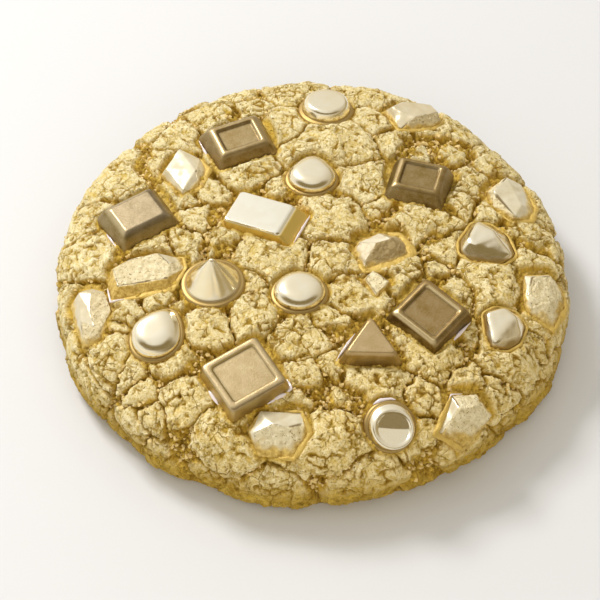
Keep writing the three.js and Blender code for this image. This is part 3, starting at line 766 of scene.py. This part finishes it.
def lustre(name, top, flank):
    """Chocolate under edible lustre: dusty brushed colour, fine grain and a soft shine.

    Where the share called flank is high it takes the flank colour, painted lighter or darker than the top
    as painted light; the ridges get a painted highlight and the groove painted shade."""
    material, tree, shader = new_material(name, 0.36, 0.9)
    colour = mix(tree, share_of(tree, "flank"), top, flank)
    # A painted highlight on the ridges and painted shade in the groove
    colour = mix(tree, share_of(tree, "ridge"), colour, (0.80, 0.66, 0.38))
    colour = mix(tree, share_of(tree, "groove"), colour, (0.14, 0.09, 0.02))
    colour = blotched(tree, 2.5, colour, mix(tree, 0.12, colour, (1.0, 0.85, 0.6)))
    dust = between(tree, grain(tree, 0.35, 2.0), 0.3, 0.7)
    colour = mix(tree, dust, colour, mix(tree, 0.08, colour, (1.0, 0.9, 0.7)))
    tree.links.new(colour, shader.inputs["Base Color"])
    bump(tree, shader, [(grain(tree, 0.28, 2.0), 0.03)])
    return material


# How far below the crust every piece reaches
ROOT = -2.6
RIM_WIDTH = 1.3
SQUARE = rounded_outline([(-1, -1), (1, -1), (1, 1), (-1, 1)], 0.09)
# Name: width, depth, slope of the flanks, height, how round the top edge is, depth of the panel,
# colour of the top and of the flanks, set piece by piece: partly the lustre, partly painted light or shade
# for the light each gets; the way the painted highlights face in degrees, slot
SQUARES = {
    "square_back_left": (
        13.4, 11.4, 1.9, 3.5, 0.5, 0.55, (0.345, 0.246, 0.099), (0.21, 0.135, 0.030), 180, "brown_lustre"),
    "square_left": (
        13.2, 11.6, 1.8, 3.4, 0.9, 0.0, (0.19, 0.142, 0.074), (0.22, 0.15, 0.036), 180, "light_lustre"),
    "square_back_right": (
        12.2, 11.2, 1.6, 3.3, 0.6, 0.5, (0.255, 0.160, 0.034), (0.17, 0.11, 0.020), 180, "brown_lustre"),
    "square_right": (
        12.2, 11.8, 1.1, 3.2, 0.6, 0.5, (0.30, 0.185, 0.044), (0.17, 0.11, 0.020), 225, "brown_lustre"),
    "square_front": (
        12.8, 12.4, 0.7, 3.2, 0.3, 0.35, (0.36, 0.268, 0.130), (0.50, 0.38, 0.13), 180, "light_lustre"),
}
for name, (width, depth, slope, height, edge, panel, top, side, highlight_way, slot) in SQUARES.items():
    levels = [(0, ROOT, 0, 0, 0), (0, 0, 0, 0, 0.1), (slope - 0.6 * edge, height - edge, 0, 0, 0.2)]
    levels += [(slope + 0.6 * edge, height, 0, 0, 0.45)]
    flat = slope + 0.6 * edge
    if panel:
        rim_end = slope + RIM_WIDTH - 0.8 * edge
        flat = rim_end + 0.8 * panel
        levels += [(rim_end, height, 0, 0, 0.3), (flat, height - panel, 0, 0, 0.12)]
    levels += [(flat + 0.5, height - panel, 0, 0, 0.3), (depth / 2 - 0.6, height - panel, 0, 0, 0)]
    levels = softened(levels)
    shape, faces = stack(SQUARE, width, depth, levels)
    finish = lustre(name + " lustre", top, side)
    piece = new_piece(name + "_chocolate", seated(name, shape), faces, finish)

    # The flanks, the rim and the walls of the panel, and the groove where those meet the panel
    facing = np.array([v.vector[:] for v in piece.data.vertex_normals])
    reach = np.abs(shape[:, :2] / [width / 2 - slope, depth / 2 - slope]).max(1)
    inner = reach < 1 - 0.8 / (depth / 2 - slope)
    flank = 1 - smoothstep(shape[:, 2], height - 0.9, height - 0.3)
    wall = inner * smoothstep(shape[:, 2], height - panel, height - panel + 0.1) * (panel > 0)
    wall *= 1 - smoothstep(shape[:, 2], height - 0.12, height)
    rim = ~inner * smoothstep(shape[:, 2], height - edge, height - 0.5 * edge)
    rim *= 1 - smoothstep(facing[:, 2], 0.90, 0.97)
    inset = np.repeat([level[0] for level in levels], len(SQUARE))
    groove = 0.6 * (panel > 0) * (1 - smoothstep(np.abs(inset - flat), 0.05, 0.2))

    # Edges that face the way given get a painted highlight, and panel walls turned from it take the flank
    # colour as painted shade
    highlight_turn = math.radians(highlight_way)
    to_highlight = facing[:, :2] @ [math.cos(highlight_turn), math.sin(highlight_turn)]
    across = facing[:, :2] @ [math.sin(highlight_turn), -math.cos(highlight_turn)]
    if highlight_way > 180:
        # Painted highlights face both ways along one pair of sides, and the other two sides take the flank
        # colour as painted shade
        ridge = wall * smoothstep(np.abs(to_highlight), 0.1, 0.4)
        ridge = np.maximum(ridge, rim * smoothstep(to_highlight, 0.1, 0.4))
        flank = np.maximum(flank, 0.8 * (wall + rim) * smoothstep(np.abs(across), 0.1, 0.3))
    else:
        ridge = 0.7 * (np.maximum(wall, 0.6 * rim) * smoothstep(to_highlight, 0.05, 0.4))
        behind = smoothstep(-facing[:, 1] - to_highlight, 0, 0.3)
        flank = np.maximum(flank * (1 - wall), 2 * wall * behind)
    keep_shares(piece.data, {"flank": flank, "ridge": ridge, "groove": groove})
    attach(piece, "root")
    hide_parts(name)

# ---- The three-cornered piece ----
# One corner piece of the same bar, with soft edges and a plain top, brushed with bronze lustre.

TRIANGLE = rounded_outline([(-1, -0.62), (1, -0.62), (0, 1.12)], 0.14, 8)
levels = [(0, ROOT, 0, 0, 0), (0, 0, 0, 0, 0.1), (1.5, 3.1, 0, 0, 0.2), (2.2, 3.8, 0, 0, 0.45)]
levels += [(3.0, 3.8, 0, 0, 0.3), (4.5, 3.8, 0, 0, 0)]
shape, faces = stack(TRIANGLE, 13.6, 12.8, softened(levels))
# The flanks take a darker colour than the top: painted shade
flank = 1 - smoothstep(shape[:, 2], 2.9, 3.5)
bronze = lustre("bronze lustre", (0.478, 0.345, 0.160), (0.34, 0.225, 0.05))
shape = seated("triangle_front_right", shape)
triangle = new_piece("triangle_chocolate", shape, faces, bronze, flank=flank)
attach(triangle, "root")
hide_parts("triangle_front_right")

# ---- The oblong slab ----
# One oblong of chocolate with crisp edges, polished to a pale gold shine.


def polished(name, low, high=(0.92, 0.84, 0.64)):
    """Pale gold with a soft mirror shine, and a duller gold foot where the piece meets the dough."""
    shine, dull_shine = 0.2, 0.5
    material, tree, shader = new_material(name, shine, 1.0)
    lighter = tuple(0.12 + 0.88 * part for part in high)
    pale = mix(tree, between(tree, grain(tree, 3.0), 0.4, 0.6), high, lighter)
    foot = share_of(tree, "foot")
    tree.links.new(mix(tree, foot, pale, low), shader.inputs["Base Color"])
    dull = add(tree, "ShaderNodeMapRange", To_Min=shine, To_Max=dull_shine)
    tree.links.new(foot, dull.inputs["Value"])
    tree.links.new(dull.outputs["Result"], shader.inputs["Roughness"])
    bump(tree, shader, [(grain(tree, 0.5, 2.0), 0.008)])
    return material


slab_gold = polished("polished slab of chocolate", (0.74, 0.56, 0.17), (0.84, 0.80, 0.67))
levels = [(0, ROOT, 0, 0, 0), (0, -0.3, 0, 0, 0.1), (0.15, 0.3, -0.25, 0, 0.2), (0.6, 1.85, -1.1, 0, 0.08)]
levels += [(0.74, 1.95, -1.2, 0, 0.1), (0.86, 2.25, -1.35, 0, 0.1), (1.0, 2.3, -1.42, 0, 0.1)]
levels += [(1.3, 2.3, -1.42, 0, 0.3), (3.6, 2.3, -1.42, 0, 0)]
shape, faces = stack(SQUARE, 14.6, 9.4, softened(levels), sides=1.9)
foot = 1 - smoothstep(shape[:, 2], 1.86, 2.0)
slab = new_piece("slab_chocolate", seated("slab_centre", shape), faces, slab_gold, foot=foot)
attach(slab, "root")
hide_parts("slab_centre")

# ---- Dropped chips ----
# Chips that were dropped warm onto a belt: each has a low round foot and a body that rises to a
# cone, a dome or a flat top. Their lustre is polished on the body and duller on the foot.

FOOT = [(0, ROOT, 0, 0, 0), (0, 0.1, 0, 0, 0.2), (0.3, 0.45, 0, 0, 0.4), (0.8, 0.55, 0, 0, 0.3)]


def dome(inset, base, top, reach, lean=0.0):
    """Levels of a body that rises as a smooth dome from its foot ring, and leans back or forward."""
    shoulder, fullness = 0.8, 4.5
    levels = [(inset - 0.15, base, 0, 0, 0.3)]
    for t in np.linspace(0.0, 1.0, 18):
        up = 1 - (1 - t) ** fullness
        height = base + shoulder + (top - base - shoulder) * up
        levels.append((inset + (reach - inset) * t, height, 0, lean * up, 0.3))
    return levels


pale_gold = polished("polished pale gold chocolate", (0.46, 0.33, 0.13))
# Name: width, depth, how far the outline draws out at its tip, and the levels of the body
DROPS = {
    "cone_left": (12.4, 12.2, 0, [
        (1.3, 0.9, 0, 0, 0.3), (3.6, 4.2, 0.1, 0, 0.2), (5.75, 7.1, 0.3, 0, 0.35), (6.0, 7.2, 0.3, 0, 0)]),
    "button_back": (11.4, 11.2, 0, [
        (0.9, 1.2, 0, 0, 0.4), (1.3, 2.3, 0, 0, 0.4), (1.9, 2.75, 0, 0, 0.3), (2.6, 2.8, 0, 0, 0.3),
        (5.3, 2.85, 0, 0, 0)]),
    "button_front": (9.8, 9.8, 0, [
        (0.7, 1.1, 0.1, -0.2, 0.4), (0.9, 1.75, 0.3, -0.5, 0.4), (1.25, 2.1, 0.4, -0.6, 0.4),
        (1.5, 2.1, 0.4, -0.6, 0.3)] + [(t, 2.09, 0.4, -0.6, 0.4) for t in np.linspace(1.6, 4.85, 8)]),
    "drop_back": (10.8, 10, 0.25, dome(0.8, 0.6, 2.7, 4.9)),
    "drop_centre": (11.2, 10.2, 0.06, dome(0.8, 0.6, 2.7, 5.0)),
    "drop_left": (10.8, 11, 0.25, dome(0.8, 0.6, 3.0, 5.2, 0.3)),
}
PLEATS, PLEAT_DEPTH = 11, 0.14
OFF_LEVEL = 0.13
FOLD_DEPTH, FOLD_SLOPE = 0.45, 0.10
for name, (width, depth, point, body) in DROPS.items():
    turn = np.linspace(0, 2 * math.pi, 73)[:-1]
    draw = 1 + point * np.maximum(0, np.cos(turn)) ** 3
    narrowing = 1 - 0.3 * point * np.maximum(0, np.cos(turn))
    outline = np.column_stack([-np.sin(turn) * narrowing, np.cos(turn) * draw])
    shape, faces = stack(outline, width, depth, softened(FOOT + body, 6))
    if name == "cone_left":
        # This one is finely pleated on its right side, where it was drawn up
        around = np.arctan2(shape[:, 1], shape[:, 0])
        out = np.hypot(shape[:, 0], shape[:, 1])
        fold = np.cos(around * PLEATS) * smoothstep(shape[:, 2], 0.9, 2.0) * smoothstep(out, 0.4, 2.5)
        fold *= smoothstep(np.cos(around + 0.45), 0.35, 0.85)
        shape[:, :2] *= (1 + PLEAT_DEPTH * fold / np.maximum(out, 1))[:, None]
    if name == "drop_left":
        # This one set a little off level, higher at its left
        left = np.radians(180 - SEATS[name][2])
        off_level = shape[:, :2] @ [math.cos(left), math.sin(left)]
        shape[:, 2] += OFF_LEVEL * off_level * smoothstep(shape[:, 2], 0.6, 2.2)
    if name == "button_front":
        # This one sank along a fold across the middle of its top as it cooled
        across, out = shape[:, 1] + 0.6, np.hypot(shape[:, 0] - 0.4, shape[:, 1] + 0.6)
        shape[:, 2] -= FOLD_SLOPE * across * smoothstep(shape[:, 2], 1.0, 2.0)
        on_top = smoothstep(out, 3.3, 2.8) * (shape[:, 2] > 1)
        shape[:, 2] -= FOLD_DEPTH * (1 - np.abs(across) / 3.2) * on_top
    foot = 1 - smoothstep(shape[:, 2], 0.6, 1.1)
    chip = new_piece(name + "_chocolate", seated(name, shape), faces, pale_gold, foot=foot)
    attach(chip, "root")
    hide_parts(name)

# ---- Pebbles and broken chunks ----
# Pieces knocked off a thick block: flat split faces with worn edges. Two were tumbled smooth and
# polished, and the rest are grainy where they split, with lustre dusted over them.


def flat_sided(name, degrees):
    """A closed copy of the piece's CAD form, with sides that turn by less than that made one."""
    shell = bmesh.new()
    shell.from_mesh(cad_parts[name].data)
    bmesh.ops.remove_doubles(shell, verts=shell.verts, dist=1e-6)
    bmesh.ops.dissolve_limit(
        shell, angle_limit=math.radians(degrees), verts=shell.verts, edges=shell.edges)
    return shell


def worn(name, wear, cell, smoothings):
    """A closed mesh of the piece's own CAD form, with its edges worn round by that many millimetres."""
    shell = flat_sided(name, 2)
    mesh = bpy.data.meshes.new(name + "_worn")
    shell.to_mesh(mesh)
    shell.free()
    holder = placed(name + "_holder", mesh)
    edges = holder.modifiers.new("worn edges", "BEVEL")
    edges.width = wear * MM
    edges.segments = 3
    even = holder.modifiers.new("even skin", "REMESH")
    even.mode = "VOXEL"
    even.voxel_size = cell * MM
    even.use_smooth_shade = True
    if smoothings:
        tumbled = holder.modifiers.new("tumbled smooth", "SMOOTH")
        tumbled.iterations = smoothings
    return finished_mesh(holder)


def broken(name):
    """Pale gold lustre over split chocolate: grainy on some faces, smooth and golden at the foot."""
    material, tree, shader = new_material(name, 0.4, 0.3)
    grainy, foot, line = (share_of(tree, key) for key in ("grainy", "foot", "line"))
    smooth = blotched(tree, 2.2, (0.68, 0.61, 0.43), (0.77, 0.72, 0.56))
    coarse = blotched(tree, 1.0, (0.68, 0.58, 0.34), (0.90, 0.82, 0.58))
    pinholes = between(tree, grain(tree, 0.45, 2.0), 0.60, 0.68)
    coarse = mix(tree, pinholes, coarse, (0.30, 0.21, 0.08))
    colour = mix(tree, grainy, smooth, coarse)
    # Painted darker where the share called dark is high, and painted pale where the share called bright is
    # high, which is a painted highlight
    colour = mix(tree, share_of(tree, "dark"), colour, (0.36, 0.26, 0.11))
    colour = mix(tree, share_of(tree, "bright"), colour, (0.92, 0.88, 0.75))
    bare = blotched(tree, 0.9, (0.44, 0.28, 0.05), (0.78, 0.58, 0.18))
    colour = mix(tree, foot, colour, bare)
    # The dark line along some edges is painted shade in the nick there
    tree.links.new(mix(tree, line, colour, (0.20, 0.13, 0.04)), shader.inputs["Base Color"])
    dull = add(tree, "ShaderNodeMapRange", To_Min=0.28, To_Max=0.6)
    tree.links.new(grainy, dull.inputs["Value"])
    tree.links.new(dull.outputs["Result"], shader.inputs["Roughness"])
    rough = add(tree, "ShaderNodeMath", operation="MULTIPLY")
    tree.links.new(grain(tree, 0.5, 3.0, 0.7), rough.inputs[0])
    tree.links.new(grainy, rough.inputs[1])
    bump(tree, shader, [(rough.outputs[0], 0.35)])
    return material


def sides_of(name):
    """The flat sides of the piece's CAD form: the way each faces, and how far out it lies."""
    shell = flat_sided(name, 12)
    sides = [(*f.normal, f.normal.dot(f.verts[0].co) / MM) for f in shell.faces]
    shell.free()
    return np.array(sides)[:, :3], np.array(sides)[:, 3]


split_gold = broken("broken pale gold chocolate")
PEBBLES = ["pebble_right", "pebble_front_right"]
CHUNKS = [name for name in SEATS if name.startswith("chunk") or name.startswith("chip")]
SKIN_CELL = 0.16
PEBBLE_WEAR, CHUNK_WEAR, SMOOTHINGS = 0.8, 0.12, 30
# How high bare golden chocolate shows at the foot, on most of them and on those named
MOST_BARE = 0.9
BARE = {"chunk_left": 2.2, "chunk_right": 0.8, "chunk_front_right": 0.8}
# How much grainier or smoother than the rest these split
GRAIN = {"chunk_back_left": -0.6, "chunk_back": -0.5, "chunk_far_left": 0.3, "chunk_centre": 0.1}
# How much darker these are painted, away from the foot
DARKENED = {"chunk_back": 0.25, "chunk_far_left": 0.25, "chunk_left": 0.12, "chunk_centre": 0.1}
for name in PEBBLES + CHUNKS:
    smooth = name in PEBBLES
    if smooth:
        mesh = worn(name, PEBBLE_WEAR, SKIN_CELL, SMOOTHINGS)
    else:
        mesh = worn(name, CHUNK_WEAR, SKIN_CELL, 0)
    count = len(mesh.vertices)
    shape = np.empty(count * 3, np.float32)
    mesh.vertices.foreach_get("co", shape)
    shape = shape.reshape(-1, 3) / MM
    facing = np.empty(count * 3, np.float32)
    mesh.vertex_normals.foreach_get("vector", facing)
    facing = facing.reshape(-1, 3)
    place, turned = seat_of(name)
    up = (shape - np.append(DOME_AXIS, 0) - place) @ turned[:, 2]

    # Which side each point lies on, and how far it is from the edge it shares with the next one
    normals, offsets = sides_of(name)
    inside = offsets - shape @ normals.T
    order = np.argsort(inside, axis=1)
    here, beside = order[:, 0], order[:, 1]
    apart = np.sqrt(np.maximum(1 - (normals[here] * normals[beside]).sum(1) ** 2, 0.04))
    from_edge = inside[np.arange(count), beside] / apart

    # Most split grainy at the right and front, and one at the left. A dark line runs along each edge
    # between a grainy side and a smooth one: a nick, painted darker as painted shade
    split_side = -0.8 if name == "chunk_right_back" else 0.8
    sandy = split_side * normals[:, 0] - 0.6 * normals[:, 1] + 0.4 * chance_of(normals)
    sandy = smoothstep(sandy + GRAIN.get(name, 0), -0.1, 0.3)
    grainy = sandy[here]
    open_edge = (normals[here, 2] > 0.2) & (normals[beside, 2] > 0.2) & (apart > 0.45)
    open_edge &= np.abs(sandy[here] - sandy[beside]) > 0.4
    line = (1 - smoothstep(from_edge, 0.06, 0.26)) * open_edge
    line *= smoothstep(swell(shape, 2.6, 7.0), -0.25, 0.15)

    # Broad unevenness, grain where it split, and a nick along the line
    depth = (0.05 if smooth else 0.10) * swell(shape, 1.6, 3.0)
    depth += (0.0 if smooth else 0.16) * grainy * swell(shape, 0.7, 13.0) - 0.12 * line
    shape = shape + facing * depth[:, None]
    mesh.vertices.foreach_set("co", np.float32(shape * MM).ravel())
    bare = BARE.get(name, MOST_BARE) - 1.5 * (facing[:, 2] > 0.8)
    foot = 1 - smoothstep(up + 0.5 * swell(shape, 1.5, 9.0), bare - 0.4, bare + 0.4)
    # The middle chunk's grainy facets are painted dark as painted shade, and its smooth facets facing left
    # pale as painted highlight
    nugget = (name == "chunk_centre") * (1 - foot)
    dark = DARKENED.get(name, 0) * (1 - foot) + 0.8 * grainy * nugget
    bright = nugget * (1 - grainy) * smoothstep(-facing[:, 0], 0.0, 0.25)
    grainy = np.maximum(grainy, 0.9 * foot)
    line = 0.9 * line * (1 - foot)
    keep_shares(mesh, {"dark": dark, "bright": bright, "foot": foot, "line": line, "grainy": grainy})
    mesh.materials.clear()
    mesh.materials.append(pale_gold if smooth else split_gold)
    mesh.name = name + "_chocolate"
    chunk = placed(name + "_chocolate", mesh)
    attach(chunk, "root")
    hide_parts(name)

# ---- Melted feet and glaze ----
# Where warm chips sank in, a bead of melted chocolate set round their foot. Thin beads of glossy
# glaze lie against some pieces as drops and threads, painted pale lilac-white as painted highlights.


STEPS_ALONG, STEPS_ROUND = 96, 12


def bead(name, first, last, width, height, level, out, material, label):
    """A rounded bead along a piece's foot, between two directions from its middle in degrees.

    Directions run anticlockwise from the right, seen from above."""
    place, turned = seat_of(name)
    outline = outline_of(name)
    middle = outline.mean(0)
    whole = last - first >= 360
    count = STEPS_ALONG if whole else STEPS_ALONG + 1
    turns = np.radians(np.linspace(first, last, STEPS_ALONG + 1)[:count] - SEATS[name][2])
    way = np.column_stack([np.cos(turns), np.sin(turns)])

    # The rim of the piece in each direction: the farthest point still inside its outline
    reach = np.linspace(0.5, 12, 231)
    spots = middle + reach[:, None, None] * way
    inside = distance_to_outline(spots.reshape(-1, 2), outline).reshape(spots.shape[:2]) < out
    rim = reach[inside.sum(0) - 1]
    for _ in range(3):
        rim = (np.roll(rim, 1) + rim + np.roll(rim, -1)) / 3 if whole else rim
    spots = middle + rim[:, None] * way

    # It thins out towards its ends, and swells and narrows on the way
    taper = np.ones(count) if whole else np.sin(np.linspace(0.05, math.pi - 0.05, count)) ** 0.6
    taper = taper * (0.8 + 0.5 * swell(np.column_stack([spots, np.zeros(count)]), 1.8, 31.0))
    points = []
    for turn in np.linspace(0, 2 * math.pi, STEPS_ROUND + 1)[:-1]:
        across = width * taper * math.cos(turn)
        lift = level + height * taper * math.sin(turn)
        flat = spots + across[:, None] * way
        points.append(np.column_stack([flat, lift]))
    points = np.stack(points, 1).reshape(-1, 3)
    faces = []
    for j in range(STEPS_ALONG):
        here, along = j * STEPS_ROUND, (j + 1) % count * STEPS_ROUND
        for i in range(STEPS_ROUND):
            k = (i + 1) % STEPS_ROUND
            faces.append((along + i, along + k, here + k, here + i))
    if not whole:
        faces.append(tuple(range(STEPS_ROUND)))
        faces.append(tuple(len(points) - 1 - i for i in range(STEPS_ROUND)))
    points = points @ turned.T + place + [*DOME_AXIS, 0]
    piece = new_piece(label, points, faces, material, foot=np.ones(len(points)))
    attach(piece, "root")


melted, tree, shader = new_material("melted gold chocolate", 0.5, 0.3)
colour = mix(tree, grain(tree, 1.5), (0.42, 0.27, 0.04), (0.82, 0.61, 0.18))
tree.links.new(colour, shader.inputs["Base Color"])
bump(tree, shader, [(grain(tree, 0.8, 3.0), 0.35)])
# Piece the bead lies against, the directions it lies between, and its width, height and level
FEET = [
    ("chunk_front", -90, 65, 0.8, 0.45, 0.25), ("chunk_centre", -150, 70, 1.7, 0.6, 0.3),
    ("chunk_back_left", -100, 60, 0.9, 0.5, 0.2), ("chunk_back", -170, 20, 0.8, 0.4, 0.2),
    ("chunk_front_right", 130, 280, 0.9, 0.5, 0.25), ("chunk_right", -120, 30, 0.8, 0.4, 0.2),
    ("chunk_left", -150, 40, 0.8, 0.4, 0.2), ("chunk_right_back", -120, 40, 0.8, 0.4, 0.2),
    ("pebble_right", 0, 360, 0.4, 0.3, 0.1), ("pebble_front_right", 0, 360, 0.35, 0.25, 0.1),
]
CLOSE_BY, A_LITTLE_OUT = 0.1, 0.2
for name, first, last, width, height, level in FEET:
    label = name + "_melted_foot"
    bead(name, first, last, width, height, level, CLOSE_BY, melted, label)

# The glaze is painted pale lilac-white: a painted highlight
GLINT_WHITE = (0.80, 0.74, 0.80, 1)
glaze, tree, shader = new_material("glaze painted with glints", 0.08, Base_Color=GLINT_WHITE, Coat_Weight=0.6)
# Piece the glaze ran against, the directions it lies between, and its width, height and level
GLAZE = [
    ("square_front", -50, 0, 0.6, 0.5, 0.2), ("square_front", 195, 225, 0.4, 0.4, 0.2),
    ("square_right", -60, -5, 0.35, 0.45, 0.3), ("triangle_front_right", 130, 215, 0.35, 0.5, 0.5),
    ("slab_centre", -50, 5, 0.3, 0.5, 0.3), ("square_left", 205, 250, 0.3, 0.4, 0.2),
    ("square_back_left", 170, 215, 0.3, 0.4, 0.2), ("chunk_left", -160, -120, 0.4, 0.4, 0.3),
    ("button_front", 80, 130, 0.4, 0.4, 0.2), ("chunk_front_right", 100, 150, 0.2, 0.25, 0.1),
]
for k, (name, first, last, width, height, level) in enumerate(GLAZE):
    label = "glaze_" + str(k + 1)
    bead(name, first, last, width, height, level, A_LITTLE_OUT, glaze, label)

# ---- Table, light and camera ----
# A plain pale table top in a pale light tent, with a small bright panel at the back left that picks
# out the cracks, a soft broad one in front, and a camera that looks down from the front.

HALF_TABLE = 2000
table_top, tree, shader = new_material("pale table", 0.6)
colour = mix(tree, grain(tree, 40.0), (0.66, 0.68, 0.725), (0.68, 0.70, 0.745))
tree.links.new(colour, shader.inputs["Base Color"])
corners = [(x * HALF_TABLE, y * HALF_TABLE, 0) for x, y in ((-1, -1), (1, -1), (1, 1), (-1, 1))]
table = new_piece("table", corners, [(0, 1, 2, 3)], table_top)


def panel_light(name, place, aim, width, depth, power, colour=(1, 1, 1)):
    """A lamp panel, in metres and watts, that faces the point it is aimed at."""
    data = bpy.data.lights.new(name, "AREA")
    data.shape = "RECTANGLE"
    data.size = width
    data.size_y = depth
    data.energy = power
    data.color = colour
    lamp = placed(name, data)
    lamp.location = place
    direction = Vector(aim) - Vector(place)
    lamp.rotation_euler = direction.to_track_quat("-Z", "Y").to_euler()
    return lamp


panel_light("key", (-0.34, 0.34, 0.52), (0, 0, 0.02), 0.2, 0.2, 3.6, (1.0, 0.97, 0.93))

fill = panel_light("front fill", (0.1, -0.65, 0.50), (0, 0, 0), 0.8, 0.5, 2.2, (1.0, 0.94, 0.83))
fill.visible_glossy = False

# A light tent: pale all round and above, golden low down, with one dark gap over the front. Height
# and the ways to the right and back run from -1 to 1 over the tent.
PALE_TENT, SHADED_TENT = (1.0, 0.975, 0.92), (0.64, 0.56, 0.42)
LOW_TENT, LOW_FRONT = (0.95, 0.80, 0.50), (1.10, 0.91, 0.55)
LOW_RIGHT, LOW_LEFT = (0.45, 0.35, 0.17), (1.15, 1.08, 0.90)
GAP_BROWN = (0.26, 0.195, 0.085)
world = bpy.data.worlds.new("light tent")
world.use_nodes = True
tree = world.node_tree
way_out = add(tree, "ShaderNodeTexCoord").outputs["Generated"]
split = add(tree, "ShaderNodeSeparateXYZ")
tree.links.new(way_out, split.inputs[0])
right, back, up = (split.outputs[axis] for axis in "XYZ")
front = between(tree, back, 0.10, -0.20)
ring = add(tree, "ShaderNodeMath", operation="MULTIPLY")
tree.links.new(between(tree, up, 0.905, 0.87), ring.inputs[0])
tree.links.new(between(tree, up, 0.46, 0.54), ring.inputs[1])
gap = add(tree, "ShaderNodeMath", operation="MULTIPLY")
tree.links.new(ring.outputs[0], gap.inputs[0])
tree.links.new(front, gap.inputs[1])
tent = mix(tree, between(tree, right, -0.1, 0.9), PALE_TENT, SHADED_TENT)
low_tent = mix(tree, front, LOW_TENT, LOW_FRONT)
low_tent = mix(tree, between(tree, right, -0.1, 0.6), low_tent, LOW_RIGHT)
low_tent = mix(tree, between(tree, right, -0.2, -0.7), low_tent, LOW_LEFT)
tent = mix(tree, between(tree, up, 0.42, 0.20), tent, low_tent)
tent = mix(tree, gap.outputs[0], tent, GAP_BROWN)
tree.links.new(tent, tree.nodes["Background"].inputs["Color"])
tree.nodes["Background"].inputs["Strength"].default_value = 0.90
bpy.context.scene.world = world

# The camera looks down at the cookie from the front, through a long lens
AIM = Vector((-2.446, -4.854, 7.0)) * MM
DISTANCE = 439.45 * MM
TILT = math.radians(49.2)
lens = bpy.data.cameras.new("camera")
lens.lens = 135
lens.sensor_width = 36
camera = placed("camera", lens)
camera.location = AIM + DISTANCE * Vector((0, -math.cos(TILT), math.sin(TILT)))
camera.rotation_euler = (AIM - camera.location).to_track_quat("-Z", "Y").to_euler()
bpy.context.scene.camera = camera
bpy.context.scene.view_settings.view_transform = "Standard"
